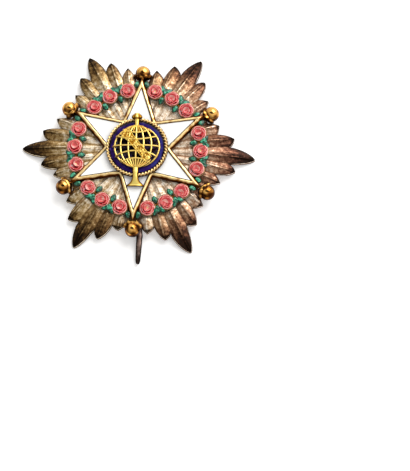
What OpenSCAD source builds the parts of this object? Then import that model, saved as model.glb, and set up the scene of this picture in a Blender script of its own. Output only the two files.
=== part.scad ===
// Breast star of an order: a struck silver plate of rays under a gilt six-armed star with
// white enamel arms, a wreath of enamel roses, and an armillary sphere on blue enamel.
// +Z is the front, +Y runs to the top arm. The origin is the star's centre on the surface
// that the star lies on, face up.

/* [Rays] */
// Reach of the six long rays from the centre
long_reach = 42; // [40:0.5:44]
// Reach of the rays beside the long ones
middle_reach = 35.4; // [34.5:0.1:36.5]
// Reach of the short rays beside the arms
short_reach = 31.6; // [31:0.1:32.5]
// Height of the plate's flat back over the surface
plate_lift = 3.3; // [3.2:0.05:3.35]
// Thickness of the plate in the valleys between the rays
plate_t = 1; // [0.8:0.05:1]
// Height of a ray's ridge over the valleys
ridge_h = 1; // [0.7:0.05:1.05]

/* [Star] */
// Reach of the star's arm tips from the centre
arm_reach = 26.6; // [26:0.1:27]
// Distance of the notches between the arms from the centre
notch_r = 11.7; // [11.5:0.1:12]
// Height of the star's underside over the surface
star_z = 5.1; // [5.1:0.02:5.14]
// Height of the star from its underside to the top of its border
star_h = 1.6; // [1.4:0.05:1.6]
// Width of the border bars
border_w = 1.3; // [1.1:0.05:1.5]
// Depth of the cups that hold the white enamel
cup_depth = 0.95; // [0.7:0.05:1]

/* [Balls] */
// Radius of the balls on the arm tips
ball_r = 2.75; // [2.5:0.05:2.75]
// Distance of the balls' centres from the star's centre
ball_ring_r = 29.55; // [29.4:0.05:29.8]
// Height of the balls' centres over the surface
ball_z = 4.2; // [4.2:0.05:4.4]

/* [Wreath] */
// Distance of the roses' centres from the star's centre
wreath_r = 22.65; // [22.5:0.05:22.8]
// Radius of a rose
rose_r = 2.75; // [2.5:0.05:2.8]
// Height of a rose over the wreath's base
rose_h = 1.45; // [1.2:0.05:1.6]
// Angle between neighbouring roses
rose_step = 17.33; // [17.2:0.01:17.4]
// Thickness of the wreath's base
base_t = 0.5; // [0.4:0.05:0.5]

/* [Medallion] */
// Outer radius of the roped rim
rim_r = 11.15; // [11:0.05:11.2]
// Radius of the blue enamel inside the rim
field_r = 9.9; // [9.7:0.05:9.95]
// Radius of the armillary sphere
globe_r = 7.9; // [7.6:0.1:8]
// Height of the sphere's dome over its outer ring
dome_h = 1.6; // [1.2:0.1:2]
// Angle that the medallion is turned from the star's axis
medallion_turn = 2.6; // [0:0.1:4]

/* [Pin] */
// Distance of the pin from the star's centre line
pin_x = 2.5; // [2.5:0.05:2.6]
// Height of the pin's axis over the surface
pin_z = 1.4; // [1.3:0.05:1.4]
// Radius of the pin's shaft behind the star
pin_r = 0.7; // [0.6:0.02:0.72]
// Radius of the pin's broad free end below the star
pin_end_r = 0.9; // [0.88:0.01:0.92]
// Distance from the star's centre to where the free end starts
pin_end_from = 32.6; // [32.5:0.1:34]
// Distance from the star's centre to the pin's end
pin_reach = 41.6; // [40:0.1:43]

/* [Hidden] */
SECTORS = 6;
ARMS = [for (k = [1:SECTORS]) str("enamel_arm_", k)];
BALLS = [for (k = [1:SECTORS]) str("ball_", k)];
BASES = [for (k = [1:SECTORS]) str("wreath_base_", k)];
LEAVES = [for (k = [1:SECTORS]) str("leaves_", k)];
ROSES = [for (k = [1:18]) str("rose_", k < 10 ? "0" : "", k)];

// Small distances
gap = 0.05;
overlap = 0.3;
round_fn = 64;

// Every ray was filed by hand, so its tip is a little off the even star. A row is a sector,
// turning left from the right-hand one. Each pair is [turn in degrees, change of reach].
FILED = [
    [[0.6, 0.3], [0.4, 0.3], [-1, 0.1], [0.5, -0.4], [1, -0.8]],
    [[0, 0.1], [0.9, 0.5], [0.5, 0.2], [1.6, 0.3], [1.3, 0.5]],
    [[0.2, 1.2], [-0.3, 1], [-0.7, -0.2], [-0.4, 0.7], [-0.6, 0.4]],
    [[-0.7, 0.8], [-1.1, 0.4], [-0.3, 0.2], [0, -0.1], [-1.6, 0]],
    [[-1.1, -0.1], [-1.8, -0.2], [0, -0.2], [-0.8, -0.1], [-0.3, -1.3]],
    [[-0.1, -0.5], [0, -0.9], [0.1, -0.1], [0.4, -0.8], [1.5, -0.4]],
];
ray_step = 10;
reaches = [short_reach, middle_reach, long_reach, middle_reach, short_reach];
// Each row is a valley between the rays of a sector: [angle, radius]
VALLEYS = [[-25, 27.3], [-15, 28.9], [-5.5, 32.4], [5.5, 32.4], [15, 28.9], [25, 27.3]];
arm_gap_r = 26.6;
hub_r = 10.5;
flat_r = 20;
crown_r = 26;
inner_ridge = 0.35;
leaf_power = 1.7;
droop_power = 1.6;
OUTLINE_STEPS = [0, 0.45, 0.8, 1];
RIDGE_STATIONS = [0.35, 0.7, 1];

star_top = star_z + star_h;
base_top = star_z + base_t;
arm_half = atan2(notch_r * sin(30), arm_reach - notch_r * cos(30));
peg_r = 0.6;
peg_z = 5.75;
peg_from = 24;
peg_to = 28.3;

setting_z = star_top + gap;
floor_t = 0.4;
field_z = setting_z + floor_t + gap;
field_t = 0.4;
rope_r = 0.6;
rim_top = setting_z + 1.5;
post_r = 0.8;
nut_r = 1.45;
nut_floor = 0.4;

globe_z = field_z + field_t + gap;
ring_h = 0.75;
rib_w = 0.55;
rib_t = 0.55;
foot_y = 8.9;
foot_r = 0.5;
stand_z = rim_top + gap;

hinge_y = 21.5;
eye_w = 1.8;
eye_r = 1.1;
rivet_r = 0.38;
ear_w = 0.8;
catch_y = -22;
catch_w = 3.6;

function polar(r, a) = [r * cos(a), r * sin(a)];
function sector_angle(k) = 60 - 60 * (k - 1);
function arm_angle(k) = 90 - 60 * (k - 1);

// Rays. The plate is one closed skin: each column is a loop of points at one angle, out
// along the front and back along the rear.
function back_z(r) = r < flat_r ? plate_lift
    : max(0, plate_lift * (1 - pow((r - flat_r) / (long_reach - flat_r), droop_power)));
function ridge_at(r, reach) = r < crown_r
    ? inner_ridge + (ridge_h - inner_ridge) * (r - hub_r) / (crown_r - hub_r)
    : ridge_h * (1 - pow(min(1, (r - crown_r) / (reach - crown_r)), 2.5));
// Share of the way from the ridge to the leaf's edge, for a point at radius r
function flank(r, turn, reach, valley_turn, valley_r) =
    let (x = r * cos(turn), x0 = valley_r * cos(valley_turn), y0 = valley_r * sin(abs(valley_turn)),
         s = min(1, max(0, (x - x0) / (reach - x0))),
         half = x < x0 ? atan2(y0, x0) : atan2(y0 * (1 - pow(s, leaf_power)), x))
    half < 0.01 ? 1 : min(1, abs(turn) / half);
function loop_of(angle, turn, edge_r, reach, valley_turn, valley_r) =
    let (front = concat([hub_r, 17, crown_r - 1],
                        [for (s = RIDGE_STATIONS) crown_r - 1 + (edge_r - crown_r + 1) * s]),
         rear = [edge_r, flat_r + (edge_r - flat_r) * 0.55, flat_r, hub_r])
    concat([for (r = front) [each polar(r, angle), back_z(r) + plate_t
                + ridge_at(r, reach) * (1 - flank(r, turn, reach, valley_turn, valley_r))]],
           [for (r = rear) [each polar(r, angle), back_z(r)]]);
function edge_column(axis, reach, valley, s) =
    let (valley_turn = valley[0] - axis, x0 = valley[1] * cos(valley_turn),
         y0 = valley[1] * sin(valley_turn), x = x0 + (reach - x0) * s,
         y = y0 * (1 - pow(s, leaf_power)), turn = atan2(y, x))
    loop_of(axis + turn, turn, norm([x, y]), reach, valley_turn, valley[1]);
function ray_columns(sector, k) =
    let (axis = 60 * sector + ray_step * (k - 2) + FILED[sector][k][0],
         reach = reaches[k] + FILED[sector][k][1],
         right = [60 * sector + VALLEYS[k][0], VALLEYS[k][1]],
         left = [60 * sector + VALLEYS[k + 1][0], VALLEYS[k + 1][1]])
    concat([for (i = [0:3]) edge_column(axis, reach, right, OUTLINE_STEPS[i])],
           [for (i = [2:-1:1]) edge_column(axis, reach, left, OUTLINE_STEPS[i])]);
function sector_columns(sector) = concat(
    [for (k = [0:4]) each ray_columns(sector, k)],
    [edge_column(60 * sector + 20 + FILED[sector][4][0], short_reach + FILED[sector][4][1],
                 [60 * sector + VALLEYS[5][0], VALLEYS[5][1]], 0),
     loop_of(60 * sector + 30, 5, arm_gap_r, short_reach, 5, arm_gap_r)]);

module ray_skin() {
    columns = [for (sector = [0:SECTORS - 1]) each sector_columns(sector)];
    n = len(columns);
    m = len(columns[0]);
    polyhedron(points = [for (c = columns) each c],
               faces = [for (j = [0:n - 1], i = [0:m - 1])
                   let (a = j * m + i, b = j * m + (i + 1) % m,
                        c = ((j + 1) % n) * m + (i + 1) % m, d = ((j + 1) % n) * m + i)
                   each [[a, c, b], [a, d, c]]]);
}

module hinge_ear(x) {
    difference() {
        translate([x - ear_w / 2, hinge_y, pin_z])
            rotate([0, 90, 0]) union() {
                cylinder(r = eye_r, h = ear_w, $fn = round_fn);
                translate([-plate_lift - overlap + pin_z, -eye_r, 0])
                    cube([plate_lift + overlap - pin_z, 2 * eye_r, ear_w]);
            }
        translate([x - ear_w, hinge_y, pin_z])
            rotate([0, 90, 0]) cylinder(r = rivet_r + gap, h = 2 * ear_w, $fn = round_fn);
    }
}

module catch_clip() {
    jaw_z = pin_z - pin_r - 2 * gap;
    difference() {
        translate([pin_x - catch_w / 2, catch_y - 1, jaw_z - 0.1])
            cube([catch_w, 2, plate_lift + overlap - jaw_z]);
        translate([pin_x, catch_y + 2, pin_z])
            rotate([90, 0, 0]) cylinder(r = pin_r + 2 * gap, h = 4, $fn = round_fn);
        translate([pin_x - pin_r * 0.75, catch_y - 2, jaw_z - 1])
            cube([pin_r * 1.5, 4, 1.5]);
    }
}

module ray_plate() {
    color("#9a8a70") difference() {
        union() {
            ray_skin();
            translate([0, 0, plate_lift + gap])
                cylinder(r = hub_r + 0.6, h = plate_t - 2 * gap, $fn = round_fn);
            for (side = [-1, 1])
                hinge_ear(pin_x + side * (eye_w / 2 + gap + ear_w / 2));
            catch_clip();
        }
        translate([0, 0, plate_lift - 1])
            cylinder(r = post_r + 0.1, h = plate_t + 2, $fn = round_fn);
    }
}

// Gilt star with its cupped arms
module arm_panel(inset, from_r) {
    apex = arm_reach - (border_w + inset) / sin(arm_half);
    half = (apex - from_r) * tan(arm_half);
    polygon([[apex, 0], [from_r, half], [from_r, -half]]);
}

module star_frame() {
    color("#e0a83a") difference() {
        union() {
            translate([0, 0, star_z]) linear_extrude(star_h)
                polygon([for (k = [0:SECTORS - 1], point = [polar(notch_r, 60 * k),
                                                            polar(arm_reach, 60 * k + 30)]) point]);
            for (k = [1:SECTORS])
                rotate(arm_angle(k)) translate([peg_from, 0, peg_z]) rotate([0, 90, 0])
                    cylinder(r = peg_r, h = peg_to - peg_from, $fn = round_fn);
        }
        for (k = [1:SECTORS])
            rotate(arm_angle(k)) translate([0, 0, star_top - cup_depth])
                linear_extrude(cup_depth + 1) arm_panel(0, 9.7);
        translate([0, 0, star_z - 1])
            cylinder(r = post_r + 0.1, h = star_h + 2, $fn = round_fn);
    }
}

module enamel_arm(k) {
    color("white") rotate(arm_angle(k)) translate([0, 0, star_top - cup_depth + gap])
        linear_extrude(cup_depth - 0.15) arm_panel(gap, 9.7 + gap);
}

module ball(k) {
    color("#b9781f") rotate(arm_angle(k)) difference() {
        translate([ball_ring_r, 0, ball_z]) sphere(r = ball_r, $fn = round_fn);
        translate([peg_from, 0, peg_z]) rotate([0, 90, 0])
            cylinder(r = peg_r + gap, h = peg_to + gap - peg_from, $fn = round_fn);
    }
}

// Wreath: three roses and their leaves on a thin base in each sector
module leaf(length, width) {
    r = (length * length + width * width) / (4 * width);
    intersection() {
        translate([length / 2, r - width / 2, 0]) cylinder(r = r, h = 0.9, $fn = round_fn);
        translate([length / 2, width / 2 - r, 0]) cylinder(r = r, h = 0.9, $fn = round_fn);
    }
}

// Two leaves that fan out from one stalk
module leaf_pair(r, angle, heading, spread, length, width) {
    for (side = [-1, 1])
        rotate(angle) translate([r, 0, 0]) rotate(heading + side * spread)
            translate([0.35, 0, 0]) leaf(length, width);
}

module leaves(k) {
    color("#1f8a63") rotate(sector_angle(k)) translate([0, 0, base_top + gap]) difference() {
        union() for (side = [-1, 1]) {
            leaf_pair(22.9, side * rose_step / 2, 0, 38, 2.9, 1.7);
            leaf_pair(22.3, side * rose_step / 2, 180, 36, 2.5, 1.5);
            rotate(side * 25) translate([23.7, 0, 0]) rotate(side * 20) leaf(2.6, 1.6);
        }
        for (i = [-1:1])
            translate([each polar(wreath_r, i * rose_step), -1])
                cylinder(r = rose_r + 0.1, h = 3, $fn = round_fn);
    }
}

module wreath_base(k) {
    half = rose_step + 5;
    color("#d9b36a") rotate(sector_angle(k)) translate([0, 0, star_z]) union() {
        intersection() {
            difference() {
                cylinder(r = wreath_r + 1.4, h = base_t, $fn = 128);
                translate([0, 0, -1]) cylinder(r = wreath_r - 1.4, h = base_t + 2, $fn = 128);
            }
            linear_extrude(base_t)
                polygon([[0, 0], polar(40, -half), [50, 0], polar(40, half)]);
        }
        for (i = [-1:1])
            translate(polar(wreath_r, i * rose_step))
                cylinder(r = rose_r + 0.15, h = base_t, $fn = round_fn);
        for (side = [-1, 1])
            rotate(side * rose_step / 2) translate([24.2, 0, 0])
                cylinder(r = 1.2, h = base_t, $fn = round_fn);
    }
}

// Each row is a ring of a rose's petals: [share of the radius, share of the height, wave]
PETALS = [[1, 0.3, 0.02], [0.85, 0.86, 0.03], [0.6, 0.62, -0.05], [0.4, 0.95, 0.06]];
petal_columns = 14;

module rose(k) {
    n = petal_columns;
    turn = 47 * k;
    wall = [for (j = [0:n - 1]) [each polar(rose_r, 360 * j / n + turn), 0]];
    rings = [for (ring = PETALS, j = [0:n - 1])
        let (a = 360 * j / n, wave = 1 + ring[2] * cos(5 * a + 90 * k))
        [each polar(rose_r * ring[0] * (wave - ring[2]), a + turn), rose_h * ring[1] * wave]];
    points = concat([[0, 0, 0]], wall, rings, [[0, 0, rose_h * 0.85]]);
    last = len(points) - 1;
    i = floor((k - 1) / 3);
    color("#d8505a") rotate(sector_angle(i + 1))
        translate([each polar(wreath_r, rose_step * (1 - (k - 1) % 3)), base_top + gap])
            polyhedron(points = points, faces = concat(
                [for (j = [0:n - 1]) [0, 1 + j, 1 + (j + 1) % n]],
                [for (level = [0:len(PETALS) - 1], j = [0:n - 1])
                    let (a = 1 + level * n + j, b = 1 + level * n + (j + 1) % n)
                    each [[a, a + n, b], [b, a + n, b + n]]],
                [for (j = [0:n - 1]) [last - n + j, last, last - n + (j + 1) % n]]));
}

// Medallion
module medallion_setting() {
    color("#e3b04b") rotate(medallion_turn) difference() {
        union() {
            translate([0, 0, setting_z]) cylinder(r = rim_r - 0.1, h = floor_t, $fn = 128);
            translate([0, 0, setting_z]) difference() {
                cylinder(r = rim_r - 0.1, h = 0.9, $fn = 128);
                translate([0, 0, floor_t]) cylinder(r = field_r + gap, h = 2, $fn = 128);
            }
            translate([0, 0, rim_top - rope_r]) rotate_extrude($fn = 128)
                translate([rim_r - rope_r, 0]) circle(r = rope_r, $fn = 32);
            translate([0, 0, nut_floor + gap])
                cylinder(r = post_r, h = setting_z + 0.2 - nut_floor - gap, $fn = round_fn);
        }
        for (side = [-1, 1])
            translate([0, side * foot_y, setting_z - 1])
                cylinder(r = foot_r + 0.1, h = 3, $fn = round_fn);
    }
}

module enamel_disc() {
    color("#2b1a8c") rotate(medallion_turn) translate([0, 0, field_z]) difference() {
        cylinder(r = field_r, h = field_t, $fn = 128);
        for (side = [-1, 1])
            translate([0, side * foot_y, -1])
                cylinder(r = foot_r + 0.1, h = field_t + 2, $fn = round_fn);
    }
}

// Armillary sphere. Its ribs lie on a dome, so a rib is a strip of small slabs along a line.
function dome_z(x, y) = globe_z + ring_h
    + dome_h * sqrt(max(0, 1 - (x * x + y * y) / (1.04 * globe_r * globe_r)));
function meridian(longitude, y) =
    [globe_r * longitude / 90 * sqrt(max(0, 1 - y * y / (globe_r * globe_r))), y];
// A parallel leaves the middle at one height and meets the outline at another
function parallel(middle, half_width, end) =
    [for (i = [-4:4]) [half_width * i / 4, middle + (end - middle) * pow(i / 4, 2)]];

module strip(path, width, rise, depth) {
    n = len(path);
    ring = [for (i = [0:n - 1])
        let (ahead = path[min(n - 1, i + 1)] - path[max(0, i - 1)], along = ahead / norm(ahead),
             side = [-along[1], along[0]] * (is_list(width) ? width[i] : width) / 2,
             left = path[i] + side, right = path[i] - side, z = dome_z(path[i][0], path[i][1]) + rise)
        each [[each left, z], [each right, z], [each right, z - depth], [each left, z - depth]]];
    polyhedron(points = ring, faces = concat(
        [[0, 1, 2, 3], [for (i = [3:-1:0]) 4 * (n - 1) + i]],
        [for (i = [0:n - 2], j = [0:3])
            let (a = 4 * i + j, b = 4 * i + (j + 1) % 4)
            each [[a, a + 4, b], [b, a + 4, b + 4]]]));
}

// Half of a turned profile, lying along Y. Each row is [distance along Y, radius].
module turned(profile, flatness) {
    translate([0, 0, stand_z]) intersection() {
        scale([1, 1, flatness]) rotate([-90, 0, 0]) rotate_extrude($fn = 24)
            polygon(concat([[0, profile[0][0]]], [for (p = profile) [p[1], p[0]]],
                           [[0, profile[len(profile) - 1][0]]]));
        translate([-5, -20, 0]) cube([10, 40, 5]);
    }
}

module spike(x, y, length) {
    a = atan2(y, x);
    hull() {
        translate([x, y, globe_z + 0.35]) rotate(a) cube([0.1, 0.5, 0.5], center = true);
        translate([x + length * cos(a), y + length * sin(a), globe_z + 0.35])
            cube([0.1, 0.1, 0.3], center = true);
    }
}

BAND_WIDTHS = [4, 3.5, 3, 2.85, 2.85, 2.85, 2.9, 3.1];
band_angle = -50;
band_shift = 0.3;
band_half = 7.1;

module ecliptic_band() {
    n = len(BAND_WIDTHS);
    path = [for (i = [0:n - 1]) [0, band_shift] + polar(band_half * (2 * i / (n - 1) - 1), band_angle)];
    strip(path, BAND_WIDTHS, 0.1, 0.6);
    for (side = [-1, 1])
        strip([for (i = [0:n - 1]) path[i] + polar(side * (BAND_WIDTHS[i] / 2 - 0.15), band_angle + 90)],
              0.3, 0.3, 0.5);
    for (i = [0:6]) {
        at = [0, band_shift] + polar(band_half * 0.88 * (i / 3 - 1), band_angle);
        translate([at[0], at[1], dome_z(at[0], at[1]) - 0.1]) rotate(band_angle + 30 * i)
            cylinder(r1 = 0.8, r2 = 0.45, h = 0.5, $fn = 6);
    }
}

module armillary() {
    color("#e6b12e") rotate(medallion_turn) union() {
        translate([0, 0, globe_z]) rotate_extrude($fn = 48)
            translate([globe_r - rib_w / 2, 0]) square([rib_w, ring_h + 0.1]);
        for (longitude = [-60:30:60])
            strip([for (i = [-4:4]) meridian(longitude, globe_r * 0.98 * sin(90 * i / 4))],
                  rib_w, 0, rib_t);
        for (longitude = [-45:30:45], side = [-1, 1])
            strip([for (y = [5, 6.6, 7.7]) meridian(longitude, side * y)], 0.45, -0.05, rib_t);
        strip(parallel(0, globe_r, 0), rib_w, 0.05, rib_t);
        strip(parallel(2.6, 7, 3.5), rib_w, 0.05, rib_t);
        strip(parallel(-2.4, 7, -3.5), rib_w, 0.05, rib_t);
        strip(parallel(5.1, 4.6, 6.3), rib_w, 0.05, rib_t);
        strip(parallel(-4.9, 4.8, -6), rib_w, 0.05, rib_t);
        ecliptic_band();
        for (side = [-1, 1]) {
            spike(side * globe_r, 0, 0.6);
            spike(side * 6.9, 3.75, 0.5);
            spike(side * 6.9, -3.75, 0.5);
            spike(side * 4.5, 6.4, 0.5);
            translate([0, side * foot_y, globe_z - field_t - 0.3])
                cylinder(r = foot_r, h = stand_z - globe_z + 1, $fn = 16);
        }
        turned([[7, 0.8], [9.6, 0.85], [10, 1.2], [10.3, 1.05], [10.7, 1.7], [11.3, 1.85],
                [11.9, 1.6], [12.3, 1.1], [12.8, 1]], 0.7);
        turned([[-14.2, 3.2], [-13.8, 3.15], [-13.3, 2], [-12.6, 1.45], [-11.6, 1.1],
                [-9.2, 1.05], [-8.4, 1.3], [-7.2, 0.7]], 0.6);
    }
}

// Fixings at the back
module cap_nut() {
    color("#a9a49a") difference() {
        cylinder(r = nut_r, h = plate_lift - gap, $fn = round_fn);
        translate([0, 0, nut_floor])
            cylinder(r = post_r + gap, h = plate_lift, $fn = round_fn);
    }
}

module brooch_pin() {
    color("#3a2c24") difference() {
        union() {
            translate([pin_x, hinge_y, pin_z]) rotate([90, 0, 0])
                cylinder(r = pin_r, h = hinge_y + pin_end_from, $fn = round_fn);
            translate([pin_x, -pin_end_from, pin_z]) rotate([90, 0, 0])
                cylinder(r = pin_end_r, h = pin_reach - pin_end_r - pin_end_from, $fn = round_fn);
            translate([pin_x, pin_end_r - pin_reach, pin_z]) sphere(r = pin_end_r, $fn = round_fn);
            translate([pin_x - eye_w / 2, hinge_y, pin_z]) rotate([0, 90, 0])
                cylinder(r = eye_r, h = eye_w, $fn = round_fn);
        }
        translate([pin_x - 2, hinge_y, pin_z]) rotate([0, 90, 0])
            cylinder(r = rivet_r + gap, h = 4, $fn = round_fn);
    }
}

module hinge_rivet() {
    half = eye_w / 2 + ear_w + 2 * gap;
    color("#8d867a") translate([pin_x, hinge_y, pin_z]) rotate([0, 90, 0]) union() {
        translate([0, 0, -half - 0.1]) cylinder(r = rivet_r, h = 2 * half + 0.2, $fn = round_fn);
        for (z = [-half - 0.3, half])
            translate([0, 0, z]) cylinder(r = 0.65, h = 0.3, $fn = round_fn);
    }
}

ray_plate();
star_frame();
medallion_setting();
enamel_disc();
armillary();
cap_nut();
brooch_pin();
hinge_rivet();
for (k = [1:SECTORS]) {
    enamel_arm(k);
    ball(k);
    wreath_base(k);
    leaves(k);
}
for (k = [1:18])
    rose(k);
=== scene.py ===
# %% [markdown]
# # Dressing a breast star
# This lesson puts the looks on a breast star of an order: a struck silver plate of thirty rays,
# a gilt star with six white enamel arms, a wreath of eighteen enamel roses, six gilt balls, and
# an armillary sphere on blue enamel. The exact solids were made before and come in as a fixed
# frame. Everything here is modelled around them, in the same place and at the same size.

# %% The frame
import math

import bmesh
import bpy
from mathutils import Matrix, Vector, noise


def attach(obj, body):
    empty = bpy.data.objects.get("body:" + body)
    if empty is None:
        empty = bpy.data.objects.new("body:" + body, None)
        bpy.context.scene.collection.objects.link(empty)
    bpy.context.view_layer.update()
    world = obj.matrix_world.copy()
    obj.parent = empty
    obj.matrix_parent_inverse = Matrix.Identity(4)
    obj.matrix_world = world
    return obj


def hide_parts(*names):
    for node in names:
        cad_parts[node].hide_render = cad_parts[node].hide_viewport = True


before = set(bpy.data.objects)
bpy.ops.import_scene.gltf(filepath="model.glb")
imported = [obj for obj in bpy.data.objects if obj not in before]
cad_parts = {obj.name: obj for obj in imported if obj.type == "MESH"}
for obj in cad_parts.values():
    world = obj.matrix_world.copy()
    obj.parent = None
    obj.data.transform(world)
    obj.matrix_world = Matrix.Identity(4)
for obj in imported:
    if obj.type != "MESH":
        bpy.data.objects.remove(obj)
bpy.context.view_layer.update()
print("nodes in the frame:", len(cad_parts))

# %% [markdown]
# ## Working in millimetres
# A jewel is measured in millimetres and Blender in metres, so every shape below is gathered in
# millimetres and scaled once, when its mesh is made. The star has six equal sectors. Angles are
# in degrees and turn left from the right-hand side, as a jeweller would mark them on the plate.

# %% Units and small helpers
MM = 0.001
SECTORS = 6


def polar(radius, angle, height=0.0):
    turn = math.radians(angle)
    return Vector((radius * math.cos(turn), radius * math.sin(turn), height))


def mix(a, b, share):
    return a + (b - a) * share


def ramp(value, low, high):
    """Rises from 0 at low to 1 at high with soft ends."""
    share = min(1.0, max(0.0, (value - low) / (high - low)))
    return share * share * (3 - 2 * share)


def hand(point, size, amount):
    """How far a hand-worked surface is off the true one at a point, for dents of a given size."""
    return amount * noise.noise(Vector(point) / size)


def at_height(points, height):
    return [Vector((point.x, point.y, height)) for point in points]


print("a sector spans", 360 / SECTORS, "degrees")

# %% [markdown]
# ## One way to make a piece
# Most pieces are grids of points: a rib, a petal and a ray are all rows of points joined by
# quads. So one small class gathers grids, with a tone beside each point: one to three shares
# from 0 to 1 that say where the point lies on its piece, such as how near a petal's rim. The
# finish reads them as the attribute named tone. It costs less than painting textures and stays
# sharp close up.

# %% Shapes made of grids
class Shape:
    def __init__(self):
        self.points, self.faces, self.tones = [], [], []

    def add_grid(self, rows, tones=0.0, ring=False, loop=False, ends=False):
        """Rows of points, with one tone or a list of rows of tones. ring closes each row, loop joins
        the last row to the first, and ends closes the first and the last row with a flat face."""
        start, height, width = len(self.points), len(rows), len(rows[0])
        for i, row in enumerate(rows):
            self.points += [tuple(point) for point in row]
            self.tones += tones[i] if isinstance(tones, list) else [tones] * width
        for i in range(height if loop else height - 1):
            for j in range(width if ring else width - 1):
                right, below = (j + 1) % width, (i + 1) % height
                self.faces.append((start + i * width + j, start + i * width + right,
                                   start + below * width + right, start + below * width + j))
        if ends:
            for row in (rows[0], rows[-1]):
                self.add_cap(row, 0.0 if isinstance(tones, list) else tones)

    def add_spots(self, spots, **joined):
        """Rows of (point, tone) pairs. Returns the rows of points."""
        rows = [[point for point, _ in row] for row in spots]
        self.add_grid(rows, [[tone for _, tone in row] for row in spots], **joined)
        return rows

    def add_cap(self, points, tone=0.0):
        """One flat face, such as the end of a rod."""
        start = len(self.points)
        self.points += [tuple(point) for point in points]
        self.tones += [tone] * len(points)
        self.faces.append(tuple(range(start, start + len(points))))


# %% [markdown]
# A finished shape becomes a mesh. Points that two grids share are merged, all faces are turned
# outwards, and only edges over a given angle stay sharp: a ridge keeps its line, while a petal
# looks round. Modifiers could do the same, but then the steps would hide in a stack. Each piece
# then tells the frame which body it rides on and which plain solids it stands in for.

# %% From shape to piece
def make_piece(name, shape, finish, replaced=(), sharp=40):
    mesh = bpy.data.meshes.new(name)
    mesh.from_pydata([Vector(point) * MM for point in shape.points], [], shape.faces)
    tones = [tone if isinstance(tone, tuple) else (tone, 0.0, 0.0) for tone in shape.tones]
    attribute = mesh.attributes.new("tone", "FLOAT_COLOR", "POINT")
    attribute.data.foreach_set("color", [value for tone in tones for value in (*tone, 1.0)])
    work = bmesh.new()
    work.from_mesh(mesh)
    bmesh.ops.remove_doubles(work, verts=work.verts, dist=0.001 * MM)
    bmesh.ops.recalc_face_normals(work, faces=work.faces)
    work.to_mesh(mesh)
    work.free()
    mesh.shade_smooth()
    mesh.set_sharp_from_angle(angle=math.radians(sharp))
    mesh.materials.append(finish)
    piece = bpy.data.objects.new(name, mesh)
    bpy.context.scene.collection.objects.link(piece)
    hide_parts(*replaced)
    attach(piece, "root")
    print(f"{name}: {len(mesh.polygons)} faces")


# %% [markdown]
# ## The photograph's camera
# The star lay on a table and was taken from above and a little below its foot, so its near side
# is larger and its thickness shows on the lower flanks. The three turns and the shift were found
# by matching ray tips, balls and roses, and a long lens from 60 cm gives the same gentle
# perspective. The lens is worked out from the picture's height, because a portrait frame fits
# the sensor's long side.

# %% Camera
VIEW_TURNS = (-16.870, -2.123, -3.047)
VIEW_SHIFT = (-23.963, 29.268)
VIEW_DISTANCE = 600.0
FOCAL_PIXELS = 1660.6
PICTURE_HEIGHT = 471
SENSOR = 36.0

turn_x, turn_y, turn_z = [Matrix.Rotation(math.radians(angle), 3, axis)
                          for angle, axis in zip(VIEW_TURNS, "XYZ")]
to_object = (turn_x @ turn_y @ turn_z).transposed()
camera_data = bpy.data.cameras.new("camera")
camera_data.sensor_width = SENSOR
camera_data.lens = FOCAL_PIXELS / PICTURE_HEIGHT * SENSOR
camera_data.clip_start = 0.01
camera = bpy.data.objects.new("camera", camera_data)
bpy.context.scene.collection.objects.link(camera)
camera_place = to_object @ Vector((-VIEW_SHIFT[0], -VIEW_SHIFT[1], VIEW_DISTANCE)) * MM
camera.matrix_world = Matrix.Translation(camera_place) @ to_object.to_4x4()
bpy.context.scene.camera = camera
print("camera at", [round(value, 3) for value in camera_place], "lens", round(camera_data.lens, 1))

# %% [markdown]
# ## Colours and shader nodes
# A colour is picked as the eye sees it, in hex, and the sockets hold linear light, so one
# function turns one into the other. Another adds a shader node: the dictionary holds what goes
# into its sockets, and the keywords are the node's own settings. Stops are the colours of a
# ramp, from low to high. Every finish reads two things of the surface: the place and the three
# tones.

# %% Colour and node helpers
def linear(colour):
    parts = [int(colour[i:i + 2], 16) / 255 for i in (1, 3, 5)]
    return [part / 12.92 if part <= 0.04045 else ((part + 0.055) / 1.055) ** 2.4
            for part in parts] + [1.0]


def plug(node, inputs):
    """Gives each input a constant, or links it to a socket or to a node's first output in use."""
    for name, value in inputs.items():
        if isinstance(value, bpy.types.Node):
            value = next(socket for socket in value.outputs if socket.enabled)
        if isinstance(value, bpy.types.NodeSocket):
            node.id_data.links.new(value, node.inputs[name])
        else:
            node.inputs[name].default_value = value


def add_node(tree, kind, inputs=None, stops=(), **settings):
    node = tree.nodes.new("ShaderNode" + kind)
    for name, value in settings.items():
        setattr(node, name, value)
    plug(node, inputs or {})
    for place, _ in stops[1:-1]:
        node.color_ramp.elements.new(place)
    for i, (place, colour) in enumerate(stops):
        node.color_ramp.elements[i].position = place
        node.color_ramp.elements[i].color = linear(colour)
    return node


def start_finish(name, **sockets):
    """A material with one shader. Returns the material, its node tree and the shader."""
    finish = bpy.data.materials.new(name)
    finish.use_nodes = True
    tree = finish.node_tree
    shader = tree.nodes["Principled BSDF"]
    plug(shader, {socket.replace("_", " "): value for socket, value in sockets.items()})
    print("finish:", name)
    return finish, tree, shader


def read_surface(tree):
    tone = add_node(tree, "Attribute", attribute_name="tone")
    shares = add_node(tree, "SeparateColor", {"Color": tone}).outputs
    return add_node(tree, "TexCoord").outputs["Object"], shares


print("mid grey in linear light:", [round(part, 3) for part in linear("#808080")[:3]])

# %% [markdown]
# ## Toned silver
# The rays are silver, struck in a die, filed, and polished. Old silver tones: sulphur in the air
# turns it yellow, then brown, then nearly black, from the tips and edges inwards, where fingers
# never wipe it. So the colour follows a share that rises towards a ray's tip, with noise so that
# the front of the toning is uneven. The hue drifts over the star, olive on one side and reddish
# on the other. Stains could be painted on an image, one by one, but an image blurs close up and
# fits one star only.

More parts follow.
